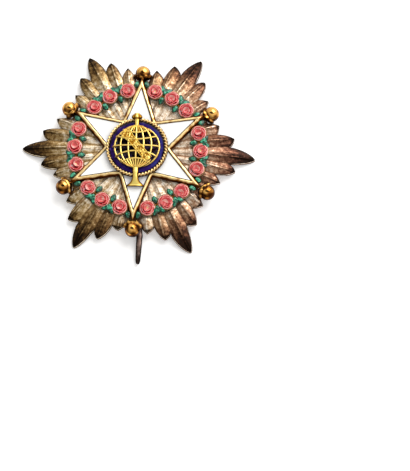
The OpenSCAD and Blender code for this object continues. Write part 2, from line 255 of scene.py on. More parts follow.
# %% Finish: colours of toned silver
OLIVE = [(0.0, "#fcf6ea"), (0.2, "#ead8b8"), (0.42, "#b89a68"), (0.65, "#82643a"), (0.9, "#48321a"),
         (1.0, "#33251a")]
RUSSET = [(0.0, "#fcf4e8"), (0.2, "#ead4bc"), (0.42, "#b48c70"), (0.65, "#805642"), (0.9, "#482c24"),
          (1.0, "#33241e")]
print("silver tones in", len(OLIVE), "steps")

# %% [markdown]
# To the eye, toned silver is a mirror with fine lines in it. Scratches run along the rays, so
# their noise is stretched outwards and closely packed round the centre. They are drawn 0.5 mm
# apart, because a real one is thinner than a pixel. Small blotches break up the colour, and pits
# the shine. The hollows inside the wreath, which no cloth reaches, are more matt. A metal's IOR
# stays as it is.

# %% Finish: toned silver
# Scratches are a step apart at this distance from the centre, both in millimetres
SCRATCH_STEP, RAY_MIDDLE = 0.5, 25.0
# Scales count per metre: a streak is 4.5 mm long and a blotch 1.3 mm wide
STREAK_SCALE, BLOTCH_SCALE = 220.0, 800.0


def toned_silver():
    finish, tree, shader = start_finish("silver_struck_and_toned", Metallic=1.0)
    where, shares = read_surface(tree)
    parts = add_node(tree, "SeparateXYZ", {"Vector": where}).outputs
    angle = add_node(tree, "Math", {0: parts["Y"], 1: parts["X"]}, operation="ARCTAN2")
    across = add_node(tree, "Math", {0: angle, 1: RAY_MIDDLE / SCRATCH_STEP}, operation="MULTIPLY")
    reach = add_node(tree, "VectorMath", {0: where}, operation="LENGTH")
    outward = add_node(tree, "Math", {0: reach, 1: STREAK_SCALE}, operation="MULTIPLY")
    grain = add_node(tree, "CombineXYZ", {"X": across, "Y": outward})
    scratches = add_node(tree, "TexNoise", {"Vector": grain, "Scale": 1.0, "Detail": 3.0})
    blotches = add_node(tree, "TexNoise", {"Vector": where, "Scale": BLOTCH_SCALE, "Detail": 5.0,
                                           "Roughness": 0.75})
    uneven = add_node(tree, "Math", {0: blotches, 1: 1.5, 2: -1.05}, operation="MULTIPLY_ADD")
    streaky = add_node(tree, "Math", {0: scratches, 1: 0.7, 2: uneven}, operation="MULTIPLY_ADD")
    toning = add_node(tree, "Math", {0: shares["Red"], 1: streaky}, operation="ADD")
    olive, russet = [add_node(tree, "ValToRGB", {"Fac": toning}, stops) for stops in (OLIVE, RUSSET)]
    side = add_node(tree, "MapRange", {"Value": parts["X"], "From Min": -20 * MM, "From Max": 25 * MM})
    hue = add_node(tree, "Mix", {0: side, 6: olive, 7: russet}, data_type="RGBA")
    # The dark rim and the darkening beside the midrib: painted shade, partly over toning
    rim = add_node(tree, "MapRange", {"Value": shares["Green"], "From Min": 0.8, "From Max": 0.96,
                                      "To Max": 0.9})
    midrib_shade = add_node(tree, "Math", {0: shares["Blue"], 1: toning}, operation="MULTIPLY",
                      use_clamp=True)
    dark = add_node(tree, "Math", {0: rim, 1: midrib_shade}, operation="MAXIMUM")
    edged = add_node(tree, "Mix", {0: dark, 6: hue, 7: linear("#150d08")}, data_type="RGBA")
    rough = add_node(tree, "MapRange", {"Value": blotches, "From Min": 0.3, "From Max": 0.7,
                                        "To Min": 0.28, "To Max": 0.5})
    frost = add_node(tree, "MapRange", {"Value": reach, "From Min": 20 * MM, "From Max": 26 * MM,
                                        "To Min": 0.2, "To Max": 0.0})
    matt = add_node(tree, "Math", {0: rough, 1: frost}, operation="ADD")
    bump = add_node(tree, "Bump", {"Height": scratches, "Strength": 0.5, "Distance": 0.16 * MM})
    pitted = add_node(tree, "Bump", {"Height": blotches, "Strength": 0.5, "Distance": 0.25 * MM,
                                     "Normal": bump})
    plug(shader, {"Base Color": edged, "Roughness": matt, "Normal": pitted})
    return finish


TONED_SILVER = toned_silver()

# %% [markdown]
# ## Gilding
# The star, the rim, the balls and the armillary sphere are silver covered with gold in the fire.
# Tops are bright and pale, partly rubbed and partly a painted highlight, while walls and hollows
# are browned, mostly as painted shade and a little by dirt, which is what makes the bars stand
# out. That could be a mask for each piece, but the height of the normal tells top from wall on
# any shape, and the tone adds painted shade, with some dirt, where a piece has more of it.
# One function serves all gilt pieces, each with its own colours of top, wall and hollow. Balls
# are burnished and mirror the room, and chased relief is rougher, so it glows without mirroring.

# %% Finish: fire gilding
GRIME_SCALE = 900.0  # per metre: a spot of grime is about 1.1 mm wide


def gilding(name, top, wall, deep, roughness):
    finish, tree, shader = start_finish(name, Metallic=1.0, Roughness=roughness)
    where, shares = read_surface(tree)
    normal = add_node(tree, "NewGeometry").outputs["Normal"]
    upward = add_node(tree, "SeparateXYZ", {"Vector": normal}).outputs["Z"]
    shade_and_grime = add_node(tree, "TexNoise", {"Vector": where, "Scale": GRIME_SCALE, "Detail": 4.0})
    # Painted light and shade: surfaces facing up are pale, walls brown, and the tone darkens more
    facing_up_less_tone = add_node(tree, "Math", {0: upward, 1: shares["Red"]}, operation="SUBTRACT")
    height = add_node(tree, "Math", {0: shade_and_grime, 1: 0.3, 2: facing_up_less_tone}, operation="MULTIPLY_ADD")
    by_height = add_node(tree, "ValToRGB", {"Fac": height}, [(0.2, deep), (0.55, wall), (0.95, top)])
    bump = add_node(tree, "Bump", {"Height": shade_and_grime, "Strength": 0.25, "Distance": 0.08 * MM})
    plug(shader, {"Base Color": by_height, "Normal": bump})
    return finish


PALE_GILT = gilding("silver_gilt_polished_bars", "#ffe2a2", "#a8641c", "#4e2608", 0.36)
YELLOW_GILT = gilding("silver_gilt_saturated_cast", "#ffdc78", "#b87c22", "#482404", 0.28)
CHASED_GILT = gilding("silver_gilt_chased_relief", "#ffe47e", "#c48a26", "#4a2404", 0.42)
BALL_GILT = gilding("silver_gilt_browned_ball", "#e0ac5c", "#945e24", "#40200a", 0.1)
ROPE_GILT = gilding("silver_gilt_bright_wire", "#fadc9a", "#b07a38", "#3c2006", 0.3)
# The wreath's ground: a dark gilding that paints the shade between the roses
SHADED_GROUND_GILT = gilding("silver_gilt_painted_shade_ground", "#7a4e20", "#4e2c0e", "#221004", 0.45)

# %% [markdown]
# ## Enamels and dark steel
# Enamel is glass fired onto metal, so every one is a dielectric with glass's IOR and a smooth
# skin. White is opaque and greys along the bars, with dirt and painted shade. Leaves are green
# over bright metal, with a painted highlight on their crests and painted shade, nearly black, in
# their creases. Roses are painted: the colour follows the share of the way from a petal's root,
# where deep red gathers, to its pale thin rim, which is partly a painted highlight, and some have
# a yellowish heart. A thin clear coat gives them their wet look. The brooch pin is steel,
# blackened by age, with a painted highlight along its middle. All four are a cloud and a tone
# that run through a few colours, so they share one function.

# %% Finishes: enamels and steel
GLASS_IOR = 1.52


def clouded(name, cloud, tone_part, stops, heart=None, **sockets):
    """A cloud of (scale per metre, detail, strength, level) and the first tone pick the colour."""
    finish, tree, shader = start_finish(name, **sockets)
    where, shares = read_surface(tree)
    scale, detail, strength, level = cloud
    haze = add_node(tree, "TexNoise", {"Vector": where, "Scale": scale, "Detail": detail})
    lifted = add_node(tree, "Math", {0: haze, 1: strength, 2: level}, operation="MULTIPLY_ADD")
    place = add_node(tree, "Math", {0: shares["Red"], 1: tone_part, 2: lifted},
                     operation="MULTIPLY_ADD")
    colour = add_node(tree, "ValToRGB", {"Fac": place}, stops)
    if heart:
        colour = add_node(tree, "Mix", {0: shares["Blue"], 6: colour, 7: linear(heart)},
                          data_type="RGBA")
    plug(shader, {"Base Color": colour})
    return finish


WHITE_ENAMEL = clouded("enamel_opaque_white", (250.0, 2.0, 0.2, 0.0), 1.0,
                       [(0.75, "#fcfcfb"), (0.88, "#f4efe4"), (1.0, "#d2bc98")],
                       Roughness=0.12, IOR=GLASS_IOR)
GREEN_ENAMEL = clouded("enamel_green_over_silver", (900.0, 3.0, 1.0, 0.0), 0.5,
                       [(0.4, "#02140e"), (0.7, "#083624"), (0.9, "#105e44"), (1.0, "#48ae88")],
                       Roughness=0.16, IOR=GLASS_IOR)
ROSE_ENAMEL = clouded("enamel_painted_rose", (900.0, 3.0, 0.3, 0.0), 1.0,
                      [(0.2, "#6c080e"), (0.44, "#a4141e"), (0.7, "#c4343a"), (0.88, "#da5854"),
                       (1.0, "#f8beb2")], heart="#d8c070",
                      Roughness=0.2, IOR=GLASS_IOR, Coat_Weight=0.4, Coat_Roughness=0.08)
BROWNED_STEEL = clouded("steel_browned_painted_highlight", (600.0, 4.0, 0.5, 0.25), -1.0,
                        [(0.0, "#0c0908"), (0.3, "#42342e"), (0.52, "#a68c80")],
                        Metallic=1.0, Roughness=0.34)

# %% [markdown]
# Blue enamel is translucent and deepens where it pools. Real depth would need coloured glass
# over metal, which is slow to render and grainy, and under a smooth skin an opaque colour looks
# the same from here. The hue drifts from violet to blue across the medallion. Where the tone is
# high it is nearly black, as painted shade, with small violet glints that are painted
# reflections.

# %% Finish: blue enamel
POOL_SCALE = 700.0  # per metre: a pool of deeper blue is 1.4 mm wide


def blue_enamel():
    finish, tree, shader = start_finish("enamel_translucent_blue", Roughness=0.1, IOR=GLASS_IOR)
    where, shares = read_surface(tree)
    cloud = add_node(tree, "TexNoise", {"Vector": where, "Scale": POOL_SCALE, "Detail": 3.0})
    side = add_node(tree, "SeparateXYZ", {"Vector": where}).outputs["X"]
    drift = add_node(tree, "MapRange", {"Value": side, "From Min": -8 * MM, "From Max": 8 * MM,
                                        "To Min": -0.25, "To Max": 0.2})
    hue = add_node(tree, "Math", {0: cloud, 1: drift}, operation="ADD")
    ground = add_node(tree, "ValToRGB", {"Fac": hue}, [(0.1, "#16042e"), (0.35, "#260a5e"),
                                                       (0.6, "#2c1c6c"), (0.9, "#30408c")])
    painted_glints = add_node(tree, "ValToRGB", {"Fac": cloud}, [(0.42, "#140a0c"), (0.55, "#281622"),
                                                        (0.7, "#5a4a84")])
    colour = add_node(tree, "Mix", {0: shares["Red"], 6: ground, 7: painted_glints}, data_type="RGBA")
    plug(shader, {"Base Color": colour})
    return finish


BLUE_ENAMEL = blue_enamel()

# %% [markdown]
# ## The rays
# Each sector has five rays: a long one, two middle ones and two short ones. A struck ray is a
# leaf: two slightly rounded flanks fall from a raised midrib to its edges, and the edges curve
# in to a tip, bluntly on long rays and to a sharp point on short ones. The plate also droops
# towards its tips. The same formulas as in the solid are used, with more points, so that the
# piece lies where the solid is. Every ray was filed by hand, so each tip has its own small turn
# and reach.

# %% Rays: sizes
LONG_REACH, MIDDLE_REACH, SHORT_REACH = 42.0, 35.4, 31.6
REACHES = (SHORT_REACH, MIDDLE_REACH, LONG_REACH, MIDDLE_REACH, SHORT_REACH)
RAY_STEP = 10.0
PLATE_LIFT, PLATE_T, RIDGE_H, INNER_RIDGE = 3.3, 1.0, 1.0, 0.1
HUB_R, FLAT_R, CROWN_R, ARM_GAP_R = 10.5, 20.0, 26.0, 26.6
# Where rays meet: angle from the sector's middle, and distance from the star's
VALLEYS = ((-25, 27.3), (-15, 28.9), (-5.5, 32.4), (5.5, 32.4), (15, 28.9), (25, 27.3))
# The file's work on each ray of each sector: turn and change of reach
FILED = (((0.6, 0.3), (0.4, 0.3), (-1, 0.1), (0.5, -0.4), (1, -0.8)),
         ((0, 0.1), (0.9, 0.5), (0.5, 0.2), (1.6, 0.3), (1.3, 0.5)),
         ((0.2, 1.2), (-0.3, 1), (-0.7, -0.2), (-0.4, 0.7), (-0.6, 0.4)),
         ((-0.7, 0.8), (-1.1, 0.4), (-0.3, 0.2), (0, -0.1), (-1.6, 0)),
         ((-1.1, -0.1), (-1.8, -0.2), (0, -0.2), (-0.8, -0.1), (-0.3, -1.3)),
         ((-0.1, -0.5), (0, -0.9), (0.1, -0.1), (0.4, -0.8), (1.5, -0.4)))
LONG_LEANS = (0.0, 0.12, -0.12, 0.0, -0.15, -0.12)  # how far a long ray bulges to its left
# Powers of the curves: the plate's droop, the midrib's rise and fall, and the outlines of a
# pointed and of a blunt ray
DROOP, RISE, FALL, SWELL, TAPER = 1.6, 1.8, 2.5, (1.45, 1.9), (1.0, 0.72)


def back_height(radius):
    droop = max(0.0, (radius - FLAT_R) / (LONG_REACH - FLAT_R))
    return max(0.0, PLATE_LIFT * (1 - droop ** DROOP))


def ridge_height(radius, reach):
    if radius < CROWN_R:
        return mix(INNER_RIDGE, RIDGE_H, ((radius - HUB_R) / (CROWN_R - HUB_R)) ** RISE)
    return RIDGE_H * (1 - min(1.0, (radius - CROWN_R) / (reach - CROWN_R)) ** FALL)


def half_width(x, reach, valley, lean):
    """It grows along the valley's straight line, and then follows the leaf's curve to the tip."""
    turn, radius = math.radians(abs(valley[0])), valley[1]
    x0, y0 = radius * math.cos(turn), radius * math.sin(turn)
    if x < x0:
        return x * math.tan(turn)
    share = (x - x0) / (reach - x0)
    blunt = ramp(reach, 31, 37)
    leaf = max(0.0, 1 - share ** mix(*SWELL, blunt)) ** mix(*TAPER, blunt)
    return y0 * leaf * (1 + lean * min(1.0, 4 * share))


leaf_half = half_width(VALLEYS[3][1], LONG_REACH, VALLEYS[3], 0.0)
print(f"a long ray is {2 * leaf_half:.1f} mm wide where it leaves its neighbours")

# %% [markdown]
# The tones of a ray say how toned it is, how near its dark rim, which is partly painted shade in
# the valleys between rays, and how near the hollow beside the midrib, which is darkened as painted
# shade. Each ray has toned a little more or less, and inside the wreath some sectors darken
# towards the valleys.

# %% Rays: tones
TONED = ((0.3, 0.14, 0.26, 0.36, 0.24), (0.2, 0.18, 0.19, 0.24, 0.24), (0.14, 0.13, 0.03, 0.13, 0.1),
         (0.02, 0.14, 0.17, 0.24, 0.1), (0.1, 0.1, 0.22, 0.32, 0.1), (0.0, 0.2, 0.2, 0.17, 0.05))
# How much each sector darkens towards the valleys inside the wreath
INNER_VALLEY_DARKENING = (0.3, 0.0, 0.2, 0.3, 0.14, 0.08)
# The cut edge is lighter in its upper part, from wear and as a painted highlight, and darker at
# its top and foot as painted shade: share of the way down, and tone
WALL = ((0.0, (0.6, 1.0, 0.0)), (0.2, (-0.1, 0.0, 0.0)), (0.5, (0.8, 0.9, 0.0)), (1.0, (1.0, 1.0, 0.0)))


def ray_tone(x, offset, share, reach, leaf, shade, inner):
    """x and offset are in millimetres, and share is the offset's part of the half width."""
    # Darker outwards, and most of all at the tip
    toning = 0.14 + 0.7 * ramp(x, 24, 42) + 0.1 * math.exp(-(reach - x) / 1.3)
    toning += shade * ramp(x, 20, 26)
    # The midrib is lighter, from wear and as a painted highlight, and some inner valleys darker
    toning -= 0.16 * (1 - ramp(offset, 0.1, 0.26)) * ramp(x, 24, 30)
    toning += inner * ramp(share, 0.5, 0.95) * ramp(x, 10, 13) * (1 - ramp(x, 21, 26))
    rim = share * mix(0.9 * ramp(x, 12, 22), 1.0, leaf)
    midrib_shade = math.exp(-((offset - 0.36) / mix(0.2, 0.5, ramp(x, 28, 40))) ** 2)
    return max(0.0, toning), max(rim, ramp(reach - x, 2.6, 1.0)), midrib_shade


print("rays toned least and most:", min(map(min, TONED)), max(map(max, TONED)))

# %% [markdown]
# Across the ray the points crowd at the midrib and at the edge, because that is where the light
# breaks. Dents of a tenth of a millimetre keep the flanks from looking machined. A ray could be
# one half mirrored, but its two valleys and its lean differ, so each side is worked out on its
# own.

# %% Rays: one side
RIB_HALF, RIB_RISE, EDGE_DROP = 0.16, 0.1, 0.16
FLANK_SHARES = (0.5, 0.68, 0.84, 0.95, 1.0)


def ray_height(x, offset, share, reach, leaf):
    radius = math.hypot(x, offset)
    belly = mix(2.0, 1.3, ramp(reach, 31, 41))
    height = back_height(radius) + PLATE_T + ridge_height(radius, reach) * (1 - share ** belly)
    height += RIB_RISE * (1 - ramp(offset, RIB_HALF, 2 * RIB_HALF)) * ramp(reach - x, 0, 4)
    return height - EDGE_DROP * leaf * ramp(share, 0.8, 1.0)


def ray_side(x, width, side, reach, leaf, turned, tones):
    """Spots from the midrib out to one edge, at one distance x. side is -1 or 1."""
    rib = min(RIB_HALF, 0.25 * width)
    spots = []
    for offset in [0.0, rib, min(2.2 * rib, 0.29 * width)] + [s * width for s in FLANK_SHARES]:
        share = offset / width if width > 0.01 else 1.0
        point = Vector((x, side * offset, ray_height(x, offset, share, reach, leaf)))
        point.z += hand(turned @ point, 1.6, 0.1) * (1 - share ** 4)
        spots.append((turned @ point, ray_tone(x, offset, share, reach, leaf, *tones)))
    return spots


# %% [markdown]
# A whole ray is a row of such stations, closer together towards the tip. Its back follows the
# plate's droop, and its cut edges join top and back. They begin beyond the valleys, because
# further in the next ray joins on.

# %% Rays: one ray
RAY_STATIONS, BEVEL = 46, 0.24


def valley_x(valley):
    return valley[1] * math.cos(math.radians(valley[0]))


def add_ray(shape, axis, reach, valleys, lean, tones):
    turned = Matrix.Rotation(math.radians(axis), 3, "Z")
    tops, backs, walls = [], [], ([], [])
    for i in range(RAY_STATIONS + 1):
        x = mix(HUB_R, reach, 1 - (1 - i / RAY_STATIONS) ** 1.25)
        sides, edges = [], []
        for side, valley in zip((-1, 1), valleys):
            width = half_width(x, reach, valley, side * lean)
            leaf = ramp(x, valley_x(valley), mix(valley_x(valley), reach, 0.15))
            sides.append(ray_side(x, width, side, reach, leaf, turned, tones))
            edges.append(width)
        tops.append(sides[0][:0:-1] + sides[1])
        low, high = -edges[0] - BEVEL * leaf, edges[1] + BEVEL * leaf
        back = [Vector((x, mix(low, high, k / 6), 0)) for k in range(7)]
        for point in back:
            point.z = back_height(math.hypot(point.x, point.y))
        backs.append([(turned @ point, tops[-1][0][1][0]) for point in back])
        for wall, k, valley in zip(walls, (0, -1), valleys):
            if x >= valley_x(valley) - 0.5:
                wall.append([(tops[-1][k][0].lerp(backs[-1][k][0], down), tone) for down, tone in WALL])
    for rows in (tops, backs, *walls):
        shape.add_spots(rows)


print("points along and across a ray:", RAY_STATIONS + 1, 2 * len(FLANK_SHARES) + 5)

# %% [markdown]
# Between two sectors, under an arm of the star, the plate has a plain flat strip, and in the
# middle a disc closes it. From the back these make one even sheet.

# %% Rays: the whole plate
STRIP_HALF, STRIP_ROWS = 5, 20
# The strip under each arm is toned dark, as painted shade under the arm
STRIP_SHADE_TONE = (0.6, 0.4, 0.0)
POST_R, HUB_LAP = 0.9, 0.6


def add_gap_strip(shape, axis):
    def place(k, share, lift):
        radius = mix(HUB_R, mix(ARM_GAP_R, VALLEYS[0][1], abs(k) / 4), share)
        return polar(radius, axis + STRIP_HALF * k / 4, back_height(radius) + lift)

    columns = range(-4, 5)
    for lift in (PLATE_T, 0.0):
        shape.add_grid([[place(k, i / STRIP_ROWS, lift) for k in columns]
                        for i in range(STRIP_ROWS + 1)], STRIP_SHADE_TONE)
    shape.add_grid([[place(k, 1.0, lift) for lift in (PLATE_T, 0.0)] for k in columns])


def add_turning(shape, profile, centre=(0, 0, 0), steps=96, axis=None, tone=0.0):
    """A turned form. Each profile row is (radius, height) along the axis, which is +Z if not given."""
    to_axis = Vector((0, 0, 1)).rotation_difference(Vector(axis or (0, 0, 1))).to_matrix()
    shape.add_grid([[Vector(centre) + to_axis @ polar(radius, 360 * k / steps, height)
                     for k in range(steps)] for radius, height in profile], tone, ring=True)


def rays():
    shape = Shape()
    for sector in range(SECTORS):
        for k in range(5):
            turn, change = FILED[sector][k]
            centre = RAY_STEP * (k - 2)
            valleys = [(VALLEYS[i][0] - centre - turn, VALLEYS[i][1]) for i in (k, k + 1)]
            lean = LONG_LEANS[sector] if k == 2 else 0.0
            add_ray(shape, 60 * sector + centre + turn, REACHES[k] + change, valleys, lean,
                    (TONED[sector][k], INNER_VALLEY_DARKENING[sector]))
        add_gap_strip(shape, 60 * sector + 30)
    edge, low, high = HUB_R + HUB_LAP, PLATE_LIFT - 0.03, PLATE_LIFT + PLATE_T
    hub = [(POST_R, high), (edge, high), (edge, low), (POST_R, low), (POST_R, high)]
    add_turning(shape, hub, tone=0.15)
    make_piece("ray_plate_struck", shape, TONED_SILVER, ["ray_plate"], sharp=24)


rays()

# %% [markdown]
# ## The gilt star
# The six-armed star is one casting with cups for enamel. Its border is a bar with a rounded top.
# For a star outline an inset at a constant distance is the same outline scaled down, so the
# bar's cross-section is a list of insets and heights, and each is one scaled outline. Joined
# outline to outline they make the whole border with true mitres at tips and notches, which a
# curve with a bevel would pinch. Both feet of the bar are darkened as painted shade, and dirt
# lies in spots over it. The star was soldered on a little off its place.

# %% Star: border bars
ARM_REACH, NOTCH_R = 26.6, 11.7
STAR_Z, STAR_TOP, CUP_FLOOR = 5.1, 6.7, 5.75
BORDER_W = 1.3
EDGE_STEPS = 22
STAR_SHIFT, SHIFT_LOSS = 0.5, 0.38
# Each row of the bar: inset, height, and tone, which is painted shade at its feet and light on top
BAR = ((-0.45, STAR_Z, 1.0), (-0.42, 5.55, 1.0), (-0.3, 5.95, 0.85), (-0.12, 6.25, 0.6),
       (0.14, 6.48, 0.3), (0.4, 6.62, 0.1), (0.66, STAR_TOP, 0.0), (0.88, 6.64, 0.1),
       (1.06, 6.48, 0.28), (1.2, 6.25, 0.55), (BORDER_W, 5.95, 1.0), (BORDER_W, CUP_FLOOR, 1.0))
tip, notch = polar(ARM_REACH, 30), polar(NOTCH_R, 0)
EDGE_DISTANCE = tip.cross(notch).length / (tip - notch).length
ARM_HALF = math.degrees((notch - tip).angle(-tip))
print(f"arm half angle {ARM_HALF:.2f} degrees, edge {EDGE_DISTANCE:.2f} mm from the centre")


def set_by_hand(point):
    """The shift is largest in the star's middle."""
    return point + Vector((0, STAR_SHIFT - SHIFT_LOSS * min(1.0, point.length / ARM_REACH), 0))


def star_outline(inset, height):
    scale = (EDGE_DISTANCE - inset) / EDGE_DISTANCE
    by_height = ramp(height, STAR_Z, STAR_TOP)
    points = []
    for k in range(2 * SECTORS):
        here, there = [polar(ARM_REACH if j % 2 else NOTCH_R, 30 * j) * scale for j in (k, k + 1)]
        for i in range(EDGE_STEPS):
            point = set_by_hand(here.lerp(there, i / EDGE_STEPS))
            point.z = height
            point.z += hand(point, 1.3, 0.1) * by_height
            dents = (hand(point, 1.1, 0.08), hand(point + Vector((9, 0, 0)), 1.1, 0.08), 0)
            points.append(point + Vector(dents) * by_height)
    return points


# %% [markdown]
# A short neck runs from each arm's tip into the ball, flared at both ends by the solder. It is
# turned round its own axis and pushed into both, as nobody sees where they meet.

# %% Star: the whole casting
NECK_R, NECK_Z, NECK_FROM, NECK_TO = 0.5, 5.5, 24.6, 28.4
ARM_FLARE, BALL_FLARE = 0.5, 0.4
NECK = [(NECK_R + ARM_FLARE * (1 - ramp(i / 12, 0, 0.5)) + BALL_FLARE * ramp(i / 12, 0.65, 1.0),
         mix(NECK_FROM, NECK_TO, i / 12)) for i in range(13)]


def gilt_star():
    shape = Shape()
    # The tone: painted shade at the bar's feet, with random spots of dirt over it
    shape.add_spots([[(point, shade_and_grime + hand(point, 1.2, 0.55)) for point in star_outline(inset, height)]
                     for inset, height, shade_and_grime in BAR], ring=True)
    shape.add_cap(star_outline(BORDER_W, CUP_FLOOR))
    shape.add_cap(star_outline(0.0, STAR_Z))
    for k in range(SECTORS):
        add_turning(shape, NECK, (0, 0, NECK_Z), 20, polar(1, 30 + 60 * k), 0.5)
    make_piece("star_gilt_bars", shape, PALE_GILT, ["star_frame"])


gilt_star()

# %% [markdown]
# ## White enamel arms
# Each cup is filled with white enamel. Fired enamel creeps up the cup's walls, so its surface is
# a shallow dish, a little below the bars. A flat plate would do from afar, but the raised edge
# catches a thin line of light. It follows from each point's distance to the wall, which the tone
# uses too, for dirt and painted shade along the bars.

# %% Star: enamel
ENAMEL_TOP, ENAMEL_FROM = 6.36, 9.8
CREEP_RISE, CREEP_W, EDGE_DIRT_AND_SHADE_W = 0.16, 0.22, 0.09
ARM_ROWS, ARM_COLUMNS = 28, 8
ENAMEL_APEX = ARM_REACH - (BORDER_W + 0.02) / math.sin(math.radians(ARM_HALF))


def enamel_arm(k):
    axis = 90 - 60 * (k - 1)

    def spot(i, j):
        x = mix(ENAMEL_FROM, ENAMEL_APEX, 1 - (1 - i / ARM_ROWS) ** 1.4)
        half = (ENAMEL_APEX - x) * math.tan(math.radians(ARM_HALF))
        share = math.sin(math.pi / 2 * (j / ARM_COLUMNS - 1))
        wall = (1 - abs(share)) * half
        point = set_by_hand(polar(x, axis) + polar(share * half, axis + 90))
        point.z = ENAMEL_TOP + CREEP_RISE * math.exp(-wall / CREEP_W) + hand(point, 4, 0.05)
        # The tone rises at the wall: dirt and painted shade against the bar
        return point, math.exp(-wall / EDGE_DIRT_AND_SHADE_W)

    shape = Shape()
    rows = shape.add_spots([[spot(i, j) for j in range(2 * ARM_COLUMNS + 1)]
                            for i in range(ARM_ROWS + 1)])
    shape.add_grid([at_height(row, CUP_FLOOR + 0.02) for row in rows])
    name = f"enamel_arm_{k}"
    make_piece(f"{name}_fired", shape, WHITE_ENAMEL, [name])


for k in range(1, SECTORS + 1):
    enamel_arm(k)

# %% [markdown]
# ## Balls
# A gilt ball ends each arm. It is turned and burnished, with a fine line round its middle, and
# reflects everything around. A ready sphere would be quicker, but a turned profile can carry the
# line. The half that looks to the star is browner, and each ball has its own level of darkening
# and dark spots, which paint the dark reflections of the room. From the top one the balls go
# clockwise.

# %% Balls
BALL_R, BALL_RING_R, BALL_Z = 2.75, 29.75, 4.2
# How much darker each ball is painted, for the dark reflections it shows
BALL_PAINTED_DARKENING = (0.1, -0.03, 0.56, 0.35, 0.48, -0.1)
LINE_DEPTH, LINE_W = 0.012, 0.05  # of the line round the middle: share of the radius, and radians


def ball(k):
    axis = 90 - 60 * (k - 1)
    outward, centre = polar(1, axis), polar(BALL_RING_R, axis, BALL_Z)
    profile = []
    for i in range(33):
        turn = math.pi * i / 32
        radius = BALL_R * (1 - LINE_DEPTH * math.exp(-((turn - math.pi / 2) / LINE_W) ** 2))
        profile.append((radius * math.sin(turn), -radius * math.cos(turn)))
    shape = Shape()
    add_turning(shape, profile, centre, 64, outward)
    for i, point in enumerate(shape.points):
        inward = (centre - Vector(point)).dot(outward) / BALL_R
        # Browner towards the star, with dark spots painted as reflections of the room
        shape.tones[i] = BALL_PAINTED_DARKENING[k - 1] + 0.5 * ramp(inward, 0.0, 0.7) + hand(point, 1.9, 1.0)
    make_piece(f"ball_{k}_burnished", shape, BALL_GILT, [f"ball_{k}"], sharp=50)


for k in range(1, SECTORS + 1):
    ball(k)

# %% [markdown]
# ## Cups
# A low gilt cup stands between each arm's tip and its ball. It is wider than the ball but not as
# high, so its two shoulders frame the ball and its rim dips back over the middle. Its foot is
# cut off where it lies on the rays, so each cross-section is an arc closed by its chord. The
# cups go anticlockwise from the upper right one, each bent back and darkened in its own measure,
# mostly as painted shade beside the ball, with some dirt.

# %% Cups behind the balls
# The cup's profile: radius, and distance from the star's centre
CUP = ((0.5, 26.5), (1.4, 26.8), (2.3, 27.3), (3.0, 27.95), (3.4, 28.6), (3.4, 28.95), (3.1, 29.2),
       (2.7, 29.25), (2.2, 28.6), (1.2, 27.6), (0.5, 27.4))
CUP_R, CUP_STEPS, CUP_FLATNESS = 3.4, 28, 0.66
LOBES, LOBE_DEPTH = 8, 0.05
CUP_DIP = (1.6, 0.6, 1.0, 0.8, 1.9, 1.0)
# How dark each cup is: painted shade beside the ball, with some dirt
CUP_SHADE_AND_GRIME = (0.55, 0.65, 0.35, 0.1, 0.15, 0.3)


def ball_cups():
    shape = Shape()
    for k in range(SECTORS):
        axis = 30 + 60 * k

        def spot(radius, along, turn):
            leaf = radius * (1 - LOBE_DEPTH * math.cos(LOBES * turn) * ramp(radius, 1.4, 3.3))
            dip = CUP_DIP[k] * (radius / CUP_R) ** 2 * max(0.0, math.sin(turn)) ** 2
            point = polar(along - dip, axis) + polar(leaf * math.cos(turn), axis - 90)
            point.z = BALL_Z + CUP_FLATNESS * leaf * math.sin(turn)
            return point, CUP_SHADE_AND_GRIME[k] + hand(point, 0.9, 0.9)

        turns = [math.radians(mix(-10, 190, i / CUP_STEPS)) for i in range(CUP_STEPS + 1)]
        shape.add_spots([[spot(radius, along, turn) for turn in turns] for radius, along in CUP],
                        ring=True, ends=True)
    make_piece("ball_cups_gilt", shape, BALL_GILT)


ball_cups()

# %% [markdown]
# ## Roses
# A rose is three rings of petals, each ring smaller and higher than the one below. It is made as
# one height map on a round grid: every petal is a shallow cup that rises to its rim, and where
# petals overlap the highest one shows. That gives the crescents and the dark steps between them,
# as modelling in wax does. One end of each petal is lifted over its neighbour, and every rose
# has its own turn and small differences.

# %% Roses: petals
WREATH_R, ROSE_STEP = 22.65, 17.33
ROSE_R, ROSE_H, ROSE_FLOOR = 2.75, 1.45, 5.65
# Each ring: number of petals, reach and rise, as shares of the rose's
PETAL_RINGS = ((5, 1.0, 0.56), (5, 0.78, 0.8), (3, 0.48, 1.0))
# How far roses, rings and petals are turned against each other, in degrees
ROSE_TURN, RING_TURN, PETAL_TURN = 47, 31, 18


def rose_petals(seed):
    petals = []
    reaches = [reach for _, reach, _ in PETAL_RINGS] + [0.0]
    for ring, (count, reach, rise) in enumerate(PETAL_RINGS):
        drift = [hand((seed * 1.3, ring * 2.1, k + 0.5), 1, 0.16 * ring) for k in (0, 7)]
        for i in range(count):
            luck = Vector((seed * 3.1, ring * 1.7, i * 2.3))
            middle = 360 * i / count + ROSE_TURN * seed + RING_TURN * ring
            middle += PETAL_TURN * noise.noise(luck)
            spread = 360 / count * (0.78 + 0.14 * noise.noise(luck + Vector((5, 0, 0))))
            size = reach * (1 + 0.1 * noise.noise(luck + Vector((0, 5, 0))) * (ring > 0))
            petals.append((middle, spread, size, rise, reaches[ring + 1] / reach, *drift))
    return petals


print("petals in a rose:", sum(count for count, _, _ in PETAL_RINGS))

# %% [markdown]
# One side of each rose is deep red, as a crescent round the middle: painted shade on the side
# away from the light. The outermost rim and the heart are thin and pale, partly as a painted
# highlight.

